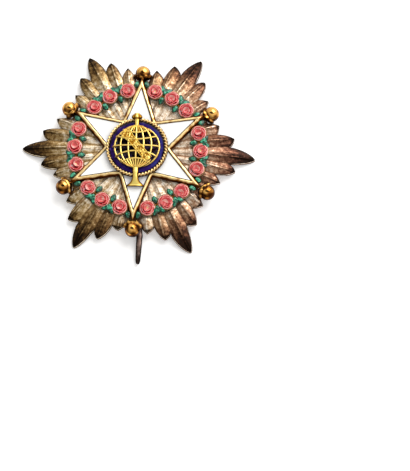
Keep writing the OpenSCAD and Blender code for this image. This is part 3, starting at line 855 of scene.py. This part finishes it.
# %% Roses: one height map
def rose_height(petals, x, y, shade_side):
    """Share of the rose's height, and the tone of the petal that shows. x and y are shares of its
    radius."""
    best, tone = 0.0, 0.0
    toward = math.cos(math.atan2(y, x) - math.radians(shade_side))
    from_middle = math.hypot(x, y)
    # The deep red crescent is painted shade; the pale rim and heart are partly painted highlight
    shade_crescent = ramp(toward, 0.1, 0.8) * ramp(from_middle, 0.3, 0.5)
    thin = 0.26 * ramp(from_middle, 0.84, 0.96) + 0.2 * (1 - ramp(from_middle, 0.0, 0.45))
    for middle, spread, reach, rise, inner, drift_x, drift_y in petals:
        off = (math.degrees(math.atan2(y - drift_y, x - drift_x)) - middle + 180) % 360 - 180
        share = math.hypot(x - drift_x, y - drift_y) / (reach * (1 - 0.16 * (off / spread) ** 2))
        if abs(off) > spread or share > 1:
            continue
        height = rise * (0.5 + 0.5 * share ** 3) - 0.12 * (off / spread) * (1 - 0.3 * rise)
        height -= 0.12 * max(0.0, (share - 0.88) / 0.12) ** 2
        if height > best:
            pale = max(0.0, (share - inner) / (1 - inner))
            best, tone = height, mix(0.44 - 0.5 * shade_crescent, 0.83, pale) + thin
    return best, tone


print("height near a rose's middle:", round(ROSE_H * rose_height(rose_petals(1), 0.2, 0.0, 0)[0], 2))

# %% [markdown]
# Nobody sets eighteen roses alike, so each one has its own turn, a slight tilt and a wander in
# its shading. Every fourth one has a yellowish heart.

# %% Roses: the pieces
ROSE_RADII, ROSE_TURNS = 34, 84
SHADE_SIDE, SHADE_WANDER, TILT_WANDER = 245, 70, 4
HEART_R, HEART_TONE = 0.12, (0.9, 0.0, 0.8)  # the third tone makes a heart yellowish


def rose(k):
    sector, place = divmod(k - 1, 3)
    centre = polar(WREATH_R, 60 - 60 * sector + ROSE_STEP * (1 - place), ROSE_FLOOR)
    petals = rose_petals(k)
    shade_side = SHADE_SIDE + hand((k * 2.7, 0.8, 0), 1, SHADE_WANDER)
    tilt = Matrix.Rotation(math.radians(hand((k * 1.9, 0.4, 0), 1, TILT_WANDER)), 3, "X")

    def spot(share, angle):
        there = polar(share, angle)
        height, tone = rose_height(petals, there.x, there.y, shade_side)
        if share < HEART_R and k % 4 == 1:
            tone = HEART_TONE
        return centre + tilt @ polar(ROSE_R * share, angle, ROSE_H * max(0.12, height)), tone

    angles = [360 * j / ROSE_TURNS for j in range(ROSE_TURNS)]
    spots = [[spot(max(0.004, i / ROSE_RADII), angle) for angle in angles]
             for i in range(ROSE_RADII + 1)]
    spots.append([(centre + polar(ROSE_R, angle), 0.9) for angle in angles])
    shape = Shape()
    rows = shape.add_spots(spots, ring=True)
    shape.add_cap(rows[-1])
    name = f"rose_{k:02d}"
    make_piece(f"{name}_petals", shape, ROSE_ENAMEL, [name], sharp=35)


for k in range(1, 3 * SECTORS + 1):
    rose(k)

# %% [markdown]
# Each rose sits in a thin gilt bezel, which shows as a pale line around it. The bezel is the
# section of a wire, turned round the rose. The wreath's base plates carry the bezels. They are
# right as they come in the frame, so they only get a dark gilding, painted shade that keeps the
# gaps between the roses dark.

# %% Rose bezels
# The bezel's wire: its middle outside the rose and over the floor, half width and half height
BEZEL_OUT, BEZEL_UP, BEZEL_W, BEZEL_H = 0.14, 0.25, 0.12, 0.3


def rose_bezels(sector):
    shape = Shape()
    turns = [math.tau * i / 8 for i in range(9)]
    ring = [(ROSE_R + BEZEL_OUT + BEZEL_W * math.cos(turn), BEZEL_UP + BEZEL_H * math.sin(turn))
            for turn in turns]
    for place in range(3):
        centre = polar(WREATH_R, 60 - 60 * sector + ROSE_STEP * (1 - place), ROSE_FLOOR)
        add_turning(shape, ring, centre, 48)
    make_piece(f"rose_bezels_{sector + 1}", shape, PALE_GILT, sharp=30)


def dress_node(name, finish):
    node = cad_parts[name]
    node.data.materials.clear()
    node.data.materials.append(finish)


for sector in range(SECTORS):
    rose_bezels(sector)
    dress_node(f"wreath_base_{sector + 1}", SHADED_GROUND_GILT)

# %% [markdown]
# ## Leaves
# Enamel leaves fill the gaps between roses, in fans outside and inside the ring, with single
# ones beside the arm tips. A leaf is a grid along its midrib: its outline swells and comes to a
# point, and its surface is domed with a crease in the middle. One leaf could be modelled and
# copied, but worked out from five numbers each one has its own size and dents, as cut by hand.

# %% Leaves
LEAF_FLOOR, LEAF_RISE = 5.65, 0.9
# Each leaf: distance of its root from the centre, sideways shift, heading, length and width
FAN = ((23.2, -0.35, -36, 3.1, 2.2), (23.2, 0.35, 36, 3.1, 2.2), (22.4, 0.0, 0, 2.9, 1.7),
       (21.7, 0.0, 180, 3.1, 2.2))
# The single leaf beside an arm's tip
TIP_LEAF_R, TIP_LEAF_ANGLE, TIP_LEAF_TURN, TIP_LEAF_SIZE = 23.5, 25, 15, (2.8, 2.0)


def add_leaf(shape, root, heading, length, width, seed):
    def spot(along, share):
        half = width / 2 * math.sin(math.pi * along ** 0.8) ** 0.65 if 0 < along < 1 else 0.02
        crease = 0.14 * math.exp(-(share / 0.2) ** 2)
        rise = LEAF_RISE * (1 - 0.6 * share * share - crease) * ramp(along, -0.2, 0.3)
        rise *= 1 - 0.6 * along ** 3
        rise += hand((length * along, share, seed), 0.8, 0.16) * (1 - share * share)
        edge = 1 + 0.06 * math.sin(7 * along * math.pi + seed)
        point = polar(length * along, heading) + polar(share * half * edge, heading + 90)
        # Tone: a painted highlight on the crest, painted shade at the rim and in the crease
        tone = 1 - max(share * share, (2 * along - 1) ** 4) - 2 * crease
        return root + point + Vector((0, 0, rise)), tone

    rows = shape.add_spots([[spot(i / 14, j / 5 - 1) for j in range(11)] for i in range(15)])
    rim = [row[0] for row in rows] + [row[-1] for row in rows[::-1]]
    shape.add_grid([rim, at_height(rim, LEAF_FLOOR)], ring=True)
    shape.add_cap(at_height(rim, LEAF_FLOOR))


def leaves(k):
    sector_angle = 60 - 60 * (k - 1)
    shape = Shape()
    for side in (-1, 1):
        between = sector_angle + side * ROSE_STEP / 2
        for reach, shift, turn, length, width in FAN:
            root = polar(reach, between, LEAF_FLOOR) + polar(shift, between + 90)
            add_leaf(shape, root, between + turn, length, width, k + turn)
        end = sector_angle + side * TIP_LEAF_ANGLE
        root = polar(TIP_LEAF_R, end, LEAF_FLOOR)
        add_leaf(shape, root, end + side * TIP_LEAF_TURN, *TIP_LEAF_SIZE, k * 2)
    make_piece(f"leaves_{k}_enamelled", shape, GREEN_ENAMEL, [f"leaves_{k}"])


for k in range(1, SECTORS + 1):
    leaves(k)

# %% [markdown]
# ## The medallion's roped rim
# A twisted wire is soldered round the medallion. Its cross-section is two strands, which turn as
# the wire runs round the rim, so a ripple that follows both angles gives the rope. Two wound
# curves would cross inside each other, and this is one closed skin. Hammering left it a little
# thicker on the right. Its grooves and sides are darkened as painted shade, and so is the
# setting's wall inside it.

# %% Medallion: rim and setting
RIM_R, ROPE_R, RIM_TOP, SETTING_Z = 11.15, 0.65, 8.25, 6.75
ROPE_TWISTS, ROPE_STEPS = 27, 680
STRAND_R, STRAND_SHIFT = 0.4, 0.31
THICKER = 0.12
RECESS_R, RECESS_Z = 9.95, 7.15


def rope_spot(around, section):
    thick = 1 + THICKER * math.cos(math.radians(around))
    turn = math.radians(section - ROPE_TWISTS * around)
    strand = math.sqrt(STRAND_R ** 2 - (STRAND_SHIFT * math.sin(turn)) ** 2)
    radius = STRAND_SHIFT * abs(math.cos(turn)) + strand
    side = math.cos(math.radians(section))
    point = polar(RIM_R - ROPE_R * thick + thick * radius * side, around,
                  RIM_TOP - ROPE_R + thick * radius * math.sin(math.radians(section)))
    # The tone: painted shade in the grooves and on both sides
    return point, 0.7 * (1 - ramp(radius, 0.3, 0.56)) - 0.4 + 0.6 * ramp(abs(side), 0.35, 0.9)


def roped_setting():
    shape = Shape()
    shape.add_spots([[rope_spot(360 * i / ROPE_STEPS, 360 * j / 14) for j in range(14)]
                     for i in range(ROPE_STEPS)], ring=True, loop=True)
    wall = [(0.0, SETTING_Z), (RIM_R - 0.1, SETTING_Z), (RIM_R - 0.05, 7.2), (RIM_R - 0.25, 7.5),
            (RECESS_R, 7.6), (RECESS_R, RECESS_Z), (0.0, RECESS_Z)]
    # The setting's wall is toned dark, as painted shade
    add_turning(shape, wall, steps=128, tone=1.1)
    make_piece("medallion_roped_rim", shape, ROPE_GILT, ["medallion_setting"], sharp=50)


roped_setting()

# %% [markdown]
# ## Blue enamel
# The field inside the rim is deep blue enamel, set a little off centre. Under the pierced sphere
# no light gets out, and old polish has turned it nearly black, so the tone there is high: painted
# shade over old polish. A dark line beside the rope is painted shade too. The field is turned
# from a profile, so that each ring of points can carry its own tone.

# %% Medallion: enamel field
# Each ring of the field: radius, height and how dark, which is painted shade
FIELD = ((0.01, 7.3, 1.0), (4.0, 7.32, 1.0), (7.2, 7.34, 1.0), (7.5, 7.4, 1.0), (7.7, 7.54, 0.6),
         (8.0, 7.58, 0.0), (8.8, 7.58, 0.0), (9.4, 7.58, 0.0), (9.52, 7.58, 1.0), (9.88, 7.56, 1.0),
         (9.88, 7.2, 0.0), (0.01, 7.2, 0.0))
FIELD_SHIFT = Vector((-0.1, 0, 0))


def enamel_field():
    shape = Shape()
    shape.add_spots([[(polar(radius, 360 * k / 128, height) + FIELD_SHIFT, tone) for k in range(128)]
                     for radius, height, tone in FIELD], ring=True)
    make_piece("enamel_disc_blue", shape, BLUE_ENAMEL, ["enamel_disc"])


enamel_field()

# %% [markdown]
# ## The armillary sphere
# It is pierced and cast in one: rings for the meridians and parallels on a low dome, with an
# ecliptic band across them, a finial above and a turned stand below. Every ring is a strip with
# a half-round section that follows a line over the dome. Curves with a bevel could make them
# too, but these strips stay flat on the dome and carry painted shade at their feet. The whole
# sphere is turned two degrees against the star, as it was soldered, and is a little wider than
# it is tall.

# %% Sphere: rings on a dome
MEDALLION_TURN, MEDALLION_SHIFT = 2.0, Vector((-0.25, 0, 0))
GLOBE_R, GLOBE_Z, GLOBE_WIDE = 7.9, 7.65, 1.05
RING_H, DOME_H, RIB_W = 0.75, 1.6, 0.64
RIB_SECTION = ((-1, -0.9), (-1, -0.1), (-0.7, 0.14), (0, 0.25), (0.7, 0.14), (1, -0.1), (1, -0.9))


def dome_height(x, y):
    fall = 1 - (x * x + y * y) / (1.04 * GLOBE_R * GLOBE_R)
    return GLOBE_Z + RING_H + DOME_H * math.sqrt(max(0.0, fall))


def meridian(longitude, low, high, steps=24):
    turns = [mix(low, high, i / steps) for i in range(steps + 1)]
    return [(GLOBE_WIDE * GLOBE_R * longitude / 90 * math.cos(math.radians(turn)),
             GLOBE_R * math.sin(math.radians(turn))) for turn in turns]


def parallel(middle, half, end, steps=24):
    shares = [2 * i / steps - 1 for i in range(steps + 1)]
    return [(half * share, mix(middle, end, share ** 2)) for share in shares]


def in_medallion(point):
    return Matrix.Rotation(math.radians(MEDALLION_TURN), 3, "Z") @ Vector(point) + MEDALLION_SHIFT


def add_strip(shape, path, widths, rise=0.0, depth=0.55, section=RIB_SECTION, shade_and_grime=(0.5, 0.0)):
    """A bar along a path over the dome. The last argument is the tone of its foot and of its top:
    above zero painted shade, below zero a painted highlight.
    """
    spots = []
    for i, (x, y) in enumerate(path):
        ahead = Vector(path[min(len(path) - 1, i + 1)]) - Vector(path[max(0, i - 1)])
        side = Vector((-ahead.y, ahead.x)).normalized()
        width = widths[i] if isinstance(widths, list) else widths
        spots.append([])
        for across, up in section:
            place = Vector((x, y)) + side * across * width / 2
            height = dome_height(x, y) + rise + up * (depth if up < -0.5 else 1)
            point = in_medallion((place.x, place.y, height + hand((x, y, 0), 0.9, 0.05)))
            spots[-1].append((point, shade_and_grime[up > -0.15]))
    shape.add_spots(spots, ring=True, ends=True)


print(f"the dome rises {dome_height(0, 0) - GLOBE_Z:.2f} mm over its foot")

# %% [markdown]
# ## The globe
# Near the poles the rings run together into a fan, which is a thin gilt cap with ribs on it.

# %% Sphere: the whole globe
MERIDIANS, FAN_RIBS, POLE = (-60, -30, 0, 30, 60), (-75, -45, -15, 15, 45, 75), 84
# The cap at a pole: half width, inner edge in the middle and at its sides, lap and depth
CAP_HALF, CAP_FROM, CAP_FROM_SIDE, CAP_LAP, CAP_DROP = 4.6, 5.1, 6.3, 0.3, 0.35
# Each parallel: height in the middle, half length, and height at its ends
PARALLELS = ((0.0, 8.2, 0.0), (2.25, 7.2, 3.8), (-2.1, 7.2, -3.7), (4.9, 4.8, 6.3), (-4.8, 5.0, -6.1))


def cap_place(pole, out, share):
    x, low = CAP_HALF * share, mix(CAP_FROM, CAP_FROM_SIDE, share * share)
    y = mix(low, max(low, math.sqrt((GLOBE_R - CAP_LAP) ** 2 - x * x)), out)
    return in_medallion((x, pole * y, dome_height(x, y) - CAP_DROP))


def globe():
    shape = Shape()
    outline = [(GLOBE_R, GLOBE_Z), (GLOBE_R, 8.3), (GLOBE_R - 0.12, 8.45), (GLOBE_R - 0.3, 8.5),
               (GLOBE_R - 0.5, 8.42), (GLOBE_R - 0.58, 8.25), (GLOBE_R - 0.58, GLOBE_Z)]
    add_turning(shape, outline, steps=120)
    shape.points = [(GLOBE_WIDE * x, y, z) for x, y, z in shape.points]
    # Each strip's tone: painted shade at its foot and a painted highlight on its top
    for longitude in MERIDIANS:
        add_strip(shape, meridian(longitude, -POLE, POLE), RIB_W, shade_and_grime=(0.7, -0.1))
    for middle, half, end in PARALLELS:
        add_strip(shape, parallel(middle, half, end), RIB_W, 0.1, shade_and_grime=(0.5, -0.2))
    for pole in (1, -1):
        for longitude in FAN_RIBS:
            add_strip(shape, [(x, pole * y) for x, y in meridian(longitude, 40, 80, 10)],
                      0.46 - 0.08 * pole, 0.1, shade_and_grime=(0.8, -0.3))
        # The caps' ground is toned dark as painted shade between the fan ribs, more on the upper cap
        shape.add_grid([[cap_place(pole, i / 8, j / 6 - 1) for j in range(13)] for i in range(9)],
                       0.8 + 0.2 * pole)
    make_piece("armillary_rings", shape, YELLOW_GILT, ["armillary"])


globe()

# %% [markdown]
# The ecliptic band lies slanting across the sphere, wider at its upper end. It has two raised
# edges with small ornaments in relief between them: a rosette in the middle, a round boss near
# the lower end, and scrolls. They are old common forms, so any will do.

# %% Sphere: ornaments of the ecliptic band
BAND_ANGLE, BAND_SHIFT, BAND_HALF = -50.0, 0.3, 7.1
BAND_WIDTHS = (4.0, 3.5, 3.0, 2.85, 2.85, 2.85, 2.9, 3.1)
FLAT_SECTION = ((-1, -0.9), (-1, 0), (-0.5, 0.02), (0, 0.03), (0.5, 0.02), (1, 0), (1, -0.9))
# Tone of each ring of a boss: painted shade at its foot and in its hollow, a painted highlight near the
# top
BOSS_SHADE_AND_HIGHLIGHT = (0.5, 0.3, 0.0, -0.3, 0.3, 0.3)
SCROLL_W, SCROLL_CLOSES = 0.42, 0.45


def band_width(share):
    place = share * (len(BAND_WIDTHS) - 1)
    low = min(int(place), len(BAND_WIDTHS) - 2)
    return mix(BAND_WIDTHS[low], BAND_WIDTHS[low + 1], place - low)


def on_band(along, across):
    """Along runs from -1 to 1, across in millimetres."""
    place = polar(BAND_HALF * along, BAND_ANGLE) + polar(across, BAND_ANGLE + 90)
    return place.x, place.y + BAND_SHIFT


def arc(middle, radius, start, sweep, steps, shrink=0.0):
    """Points on an arc, or on a spiral that loses a share of its radius."""
    path = []
    for i in range(steps + 1):
        turn = math.radians(start + sweep * i / steps)
        reach = radius * (1 - shrink * i / steps)
        path.append((middle[0] + reach * math.cos(turn), middle[1] + reach * math.sin(turn)))
    return path


def add_boss(shape, along, across, radius, rise, hollow=0.0):
    middle = on_band(along, across)
    base = dome_height(*middle)
    profile = [(radius, -0.2), (radius, 0.05), (radius * 0.8, rise * 0.8), (radius * 0.5, rise),
               (radius * 0.25, rise - hollow), (0.01, rise - hollow)]
    shape.add_spots([[(in_medallion((x, y, base + z)), shade_and_grime) for x, y in arc(middle, r, 0, 360, 16)[:-1]]
                     for (r, z), shade_and_grime in zip(profile, BOSS_SHADE_AND_HIGHLIGHT)], ring=True)


def add_scroll(shape, along, across, radius, start, sweep):
    spiral = arc(on_band(along, across), radius, start, sweep, 12, SCROLL_CLOSES)
    add_strip(shape, spiral, SCROLL_W, 0.22, 0.4, shade_and_grime=(0.5, -0.3))


print(f"the band is {band_width(0):.1f} mm wide above and {band_width(1):.1f} mm below")

# %% [markdown]
# The ornaments are set along the band one by one, so their places are a short list: scrolls of
# both senses, and beads in the spaces between them. The rosette is six lobes round a boss.

# %% Sphere: ecliptic band
# Each scroll: place along and across, radius, start and sweep
SCROLLS = ((-0.86, 0.8, 0.8, 40, 300), (-0.88, -0.75, 0.8, 200, -290), (-0.58, 0.0, 0.85, 90, 280),
           (-0.3, 0.1, 0.7, 0, 290), (0.3, 0.0, 0.7, 120, 300), (0.6, 0.0, 0.75, 240, -290))
EDGE_W, BEAD_R, LOBE_R, LOBE_RING_R = 0.42, 0.36, 0.4, 0.66
BEADS = ((-0.72, 0.2), (-0.44, -0.6), (-0.44, 0.6), (-0.99, 0.1), (0.16, 0.75), (0.16, -0.75),
         (0.45, 0.5), (0.45, -0.5), (0.75, 0.0))


def ecliptic_band():
    shape = Shape()
    shares = [i / 32 for i in range(33)]
    # The ground between the ornaments is toned dark as painted shade, the raised edges light as painted
    # highlights
    add_strip(shape, [on_band(2 * share - 1, 0) for share in shares],
              [band_width(share) for share in shares], 0.05, 0.6, FLAT_SECTION, (0.6, 0.68))
    for side in (-1, 1):
        add_strip(shape, [on_band(2 * share - 1, side * (band_width(share) / 2 - 0.16))
                          for share in shares], EDGE_W, 0.2, 0.5, shade_and_grime=(0.5, -0.4))
    for k in range(6):
        lobe = polar(LOBE_RING_R, 60 * k)
        add_boss(shape, lobe.x / BAND_HALF, lobe.y, LOBE_R, 0.42)
    add_boss(shape, 0.0, 0.0, 0.42, 0.5, 0.1)
    add_boss(shape, 0.92, 0.05, 1.0, 0.45, 0.25)
    for scroll in SCROLLS:
        add_scroll(shape, *scroll)
    for bead in BEADS:
        add_boss(shape, *bead, BEAD_R, BEAD_R)
    make_piece("armillary_ecliptic_band", shape, CHASED_GILT)


ecliptic_band()

# %% [markdown]
# ## Finial and stand
# The finial and the stand are turned forms, flattened where they lie on the star. They hang over
# the rope, so their undersides are flat. A lathe gives the profile, and three ribs on the crown
# are a ripple in its radius, which is simpler than carving them. Small spikes around the outline
# are the ends of the rings.

# %% Sphere: finial, stand and ring ends
STAND_Z = 8.3
# Turned profiles: height on the star, and radius
FINIAL = ((6.9, 0.8), (8.2, 0.82), (9.7, 0.88), (10.35, 0.95), (10.55, 1.35), (10.75, 1.75), (11.0, 1.88),
          (11.35, 1.82), (11.75, 1.58), (12.1, 1.3), (12.4, 1.05), (12.62, 0.85), (12.7, 0.5))
STAND = ((-14.45, 2.9), (-14.4, 3.2), (-14.15, 3.15), (-13.9, 2.75), (-13.4, 2.15), (-12.8, 1.6),
         (-12.0, 1.15), (-11.0, 0.98), (-9.9, 1.0), (-9.2, 1.2), (-8.9, 1.05), (-8.3, 1.2), (-7.1, 0.8))
# Ring ends: place and length
SPIKES = ((8.3, 0, 0.5), (7.25, 3.75, 0.4), (7.25, -3.75, 0.4), (4.7, 6.4, 0.45))
SPIKE_Z, SPIKE_HALF, SPIKE_ROOT = 8.0, 0.25, 0.97


def add_half_turning(shape, profile, flatness, lobe=0.0, foot=0.0):
    """A turned form cut in half lengthwise. lobe is how far its three ribs stand out."""
    spots = []
    for y, radius in profile:
        row = []
        low = STAND_Z - foot * ramp(-y, 11.2, 14.4)
        bulge = flatness * (1 - 0.6 * ramp(-y, 11.8, 14))
        for k in range(25):
            turn = math.pi * k / 24
            rib = lobe * math.cos(6 * (turn - math.pi / 2)) * ramp(radius, 0.9, 1.6)
            reach = radius * (1 + rib)
            point = in_medallion((reach * math.cos(turn), y, low + bulge * reach * math.sin(turn)))
            # Tone: painted shade on the sides, in the grooves between ribs and underneath, light along
            # the middle
            row.append((point, 1.0 - 0.95 * ramp(math.sin(turn), 0.45, 1.0) - 4 * min(0.0, rib)))
        under = low - 0.02 - 0.4 * foot * ramp(-y, 11.6, 12.4)
        spots.append(row + [(in_medallion((side * radius, y, under)), 0.9) for side in (-1, 1)])
    shape.add_spots(spots, ring=True, ends=True)


def add_spike(shape, x, y, length):
    turn = math.atan2(y, x)
    across = Vector((-math.sin(turn), math.cos(turn), 0)) * SPIKE_HALF
    root = Vector((x * SPIKE_ROOT, y * SPIKE_ROOT, SPIKE_Z))
    point = Vector((x + length * math.cos(turn), y + length * math.sin(turn), SPIKE_Z))
    rows = []
    for middle, rise, share in ((root, 0.28, 1.0), (point, 0.2, 0.15)):
        up = Vector((0, 0, rise))
        rows.append([in_medallion(middle.lerp(middle + side, share))
                     for side in (across, up, -across, -up)])
    shape.add_grid(rows, ring=True)


def finial_and_stand():
    shape = Shape()
    add_half_turning(shape, FINIAL, 0.6, lobe=0.16)
    add_half_turning(shape, STAND, 0.6, foot=1.2)
    for x, y, length in SPIKES:
        for side in (-1, 1):
            add_spike(shape, side * x, y, length)
    make_piece("armillary_finial_and_stand", shape, CHASED_GILT, sharp=35)


finial_and_stand()

# %% [markdown]
# ## The back
# Behind the plate lies a long brooch pin, hinged above and held in a catch below. Its end is a
# broad tongue that shows under the star. The pin is a row of rounded sections, which a reader
# may compare with the strips above: the same grid, with widths and heights from a list.

# %% Back: pin
PIN_X, PIN_Z = 2.42, 1.4
HINGE_Y, EYE_R, EYE_W, RIVET_R = 21.5, 1.1, 1.8, 0.43
# Sections of the pin from hinge to tip: y, half width and half height
PIN_SECTIONS = ((21.0, 0.62, 0.62), (0.0, 0.68, 0.68), (-26.0, 0.7, 0.7), (-29.0, 0.85, 0.7),
                (-31.0, 1.15, 0.72), (-34.0, 1.1, 0.72), (-38.0, 0.98, 0.68), (-40.4, 0.88, 0.6),
                (-41.1, 0.68, 0.5), (-41.5, 0.45, 0.34), (-41.6, 0.15, 0.12))


def pin_spot(y, half_width, half_height, turn):
    x = half_width * math.copysign(abs(math.cos(turn)) ** 0.8, math.cos(turn))
    z = half_height * math.copysign(abs(math.sin(turn)) ** 0.6, math.sin(turn))
    # Tone: dark at the sides, a painted highlight along the middle, darker towards the tip
    return (PIN_X + x, y, PIN_Z + z), abs(math.cos(turn)) ** 2 * 0.65 + 0.2 * ramp(-y, 35, 41)


def brooch_pin():
    shape = Shape()
    shape.add_spots([[pin_spot(*section, math.tau * k / 24) for k in range(24)]
                     for section in PIN_SECTIONS], ring=True, ends=True)
    half = EYE_W / 2
    eye = [(RIVET_R, -half), (EYE_R, -half), (EYE_R, half), (RIVET_R, half), (RIVET_R, -half)]
    add_turning(shape, eye, (PIN_X, HINGE_Y, PIN_Z), 40, (1, 0, 0))
    make_piece("brooch_pin_browned", shape, BROWNED_STEEL, ["brooch_pin"])


brooch_pin()

# %% [markdown]
# The hinge's two ears and the catch are soldered to the plate. An ear is a flat slab with a
# round end, and the catch is a thick arc with an opening, on a small foot. They are hardly seen,
# so plain outlines do. The cap nut and the rivet are right as they are, and only get the silver
# finish.

# %% Back: hinge and catch
EAR_W, EAR_GAP = 0.8, 0.05
CATCH_Y, CATCH_HALF, HOOK_RADII, HOOK_STEPS = -22.0, 1, (0.8, 1.25), 28
FOOT_HALF, FOOT_Z, FOOT_SPREAD = 0.9, 2.5, 1.3
SOLDERED = (0.3, 0.0, 0.5)


def add_slab(shape, outline, x_from, x_to):
    """A flat plate that stands across X. The outline is a list of (y, z)."""
    rows = [[Vector((x, y, z)) for y, z in outline] for x in (x_from, x_to)]
    shape.add_grid(rows, SOLDERED, ring=True, ends=True)


def hinge_and_catch():
    shape = Shape()
    top = PLATE_LIFT + 0.1
    ear = [(HINGE_Y - EYE_R, top), *arc((HINGE_Y, PIN_Z), EYE_R, 180, 180, 16), (HINGE_Y + EYE_R, top)]
    for side in (-1, 1):
        middle = PIN_X + side * (EYE_W / 2 + EAR_GAP + EAR_W / 2)
        add_slab(shape, ear, middle - EAR_W / 2, middle + EAR_W / 2)
    inner, outer = [arc((PIN_X, PIN_Z), radius, -130, -280, HOOK_STEPS) for radius in HOOK_RADII]
    rows = [[(x, y, z) for x, z in inner + outer[::-1]]
            for y in (CATCH_Y - CATCH_HALF, CATCH_Y + CATCH_HALF)]
    shape.add_grid(rows, SOLDERED, ring=True)
    for row in rows:
        shape.add_grid([row[:HOOK_STEPS + 1], row[:HOOK_STEPS:-1]], SOLDERED)
    foot = [(CATCH_Y - CATCH_HALF, FOOT_Z), (CATCH_Y + CATCH_HALF, FOOT_Z),
            (CATCH_Y + FOOT_SPREAD, top), (CATCH_Y - FOOT_SPREAD, top)]
    add_slab(shape, foot, PIN_X - FOOT_HALF, PIN_X + FOOT_HALF)
    make_piece("hinge_ears_and_catch", shape, TONED_SILVER, sharp=30)


hinge_and_catch()
for name in ("cap_nut", "hinge_rivet"):
    dress_node(name, TONED_SILVER)

# %% [markdown]
# ## Floor and light
# The star lies on white paper, which is matt and nearly even. Exposed for the metal, it comes
# out almost white, and a faint glow of its own gives that without more light on the star. Its
# fibres are too fine to see, so clouds of 25 mm stand in for them.

# %% Paper floor
PAPER_SCALE = 40.0  # per metre
PAPER_HALF = 2.0  # metres, so that no edge shows


def paper_floor():
    finish, tree, shader = start_finish("paper_matt_white", Roughness=0.9, Emission_Strength=0.3)
    where = add_node(tree, "TexCoord").outputs["Object"]
    fibre = add_node(tree, "TexNoise", {"Vector": where, "Scale": PAPER_SCALE})
    colour = add_node(tree, "ValToRGB", {"Fac": fibre}, [(0.3, "#f6f6f6"), (0.7, "#fafafa")])
    plug(shader, {"Base Color": colour, "Emission Color": colour})
    mesh = bpy.data.meshes.new("floor")
    corners = [(-1, -1), (1, -1), (1, 1), (-1, 1)]
    mesh.from_pydata([(x * PAPER_HALF, y * PAPER_HALF, 0) for x, y in corners], [], [(0, 1, 2, 3)])
    mesh.materials.append(finish)
    floor = bpy.data.objects.new("floor", mesh)
    bpy.context.scene.collection.objects.link(floor)


paper_floor()

# %% [markdown]
# A large softbox high on the right gives the highlights and the soft shadows to the lower left.
# The world is a light tent that is bright on the same side and dim low on the left. A picture of
# a real studio could be wrapped round the scene, but two smooth formulas are enough and easy to
# steer. Between the tent's cloths is a dark gap overhead, so that polished gold has something
# dark to reflect.

# %% Lights and world
KEY_PLACE, KEY_SIZE, KEY_POWER = (0.44, 0.62, 0.74), 0.8, 7.5
TENT_BRIGHT = Vector((0.45, 0.55, 0.7)).normalized()
# The dark gap between the cloths is an oval of directions overhead
GAP = {"Location": (0.0, 0.1, 0.0), "Rotation": (0.0, 0.0, -0.25), "Scale": (0.5, 0.27, 1000.0)}


def key_softbox():
    data = bpy.data.lights.new("key_softbox", "AREA")
    data.size = KEY_SIZE
    data.energy = KEY_POWER
    light = bpy.data.objects.new("key_softbox", data)
    light.location = KEY_PLACE
    light.rotation_euler = Vector(KEY_PLACE).to_track_quat("Z", "Y").to_euler()
    bpy.context.scene.collection.objects.link(light)


def studio_world():
    world = bpy.data.worlds.new("studio")
    bpy.context.scene.world = world
    world.use_nodes = True
    tree = world.node_tree
    where = add_node(tree, "TexCoord").outputs["Generated"]
    toward = add_node(tree, "VectorMath", {0: where, 1: TENT_BRIGHT}, operation="DOT_PRODUCT")
    tent = add_node(tree, "MapRange", {"Value": toward, "From Min": -0.5, "From Max": 0.9,
                                       "To Min": 0.2, "To Max": 1.25}, interpolation_type="SMOOTHSTEP")
    gap = add_node(tree, "Mapping", {"Vector": where, **GAP}, vector_type="TEXTURE")
    off = add_node(tree, "VectorMath", {0: gap}, operation="LENGTH")
    dark = add_node(tree, "MapRange", {"Value": off, "From Min": 0.8, "From Max": 1.25,
                                       "To Min": 0.05, "To Max": 1.0}, interpolation_type="SMOOTHSTEP")
    strength = add_node(tree, "Math", {0: tent, 1: dark}, operation="MULTIPLY")
    plug(tree.nodes["Background"], {"Strength": strength, "Color": linear("#fffdfa")})


key_softbox()
studio_world()
bpy.context.scene.view_settings.view_transform = "Standard"
print("softbox", KEY_SIZE, "m wide at", KEY_PLACE)
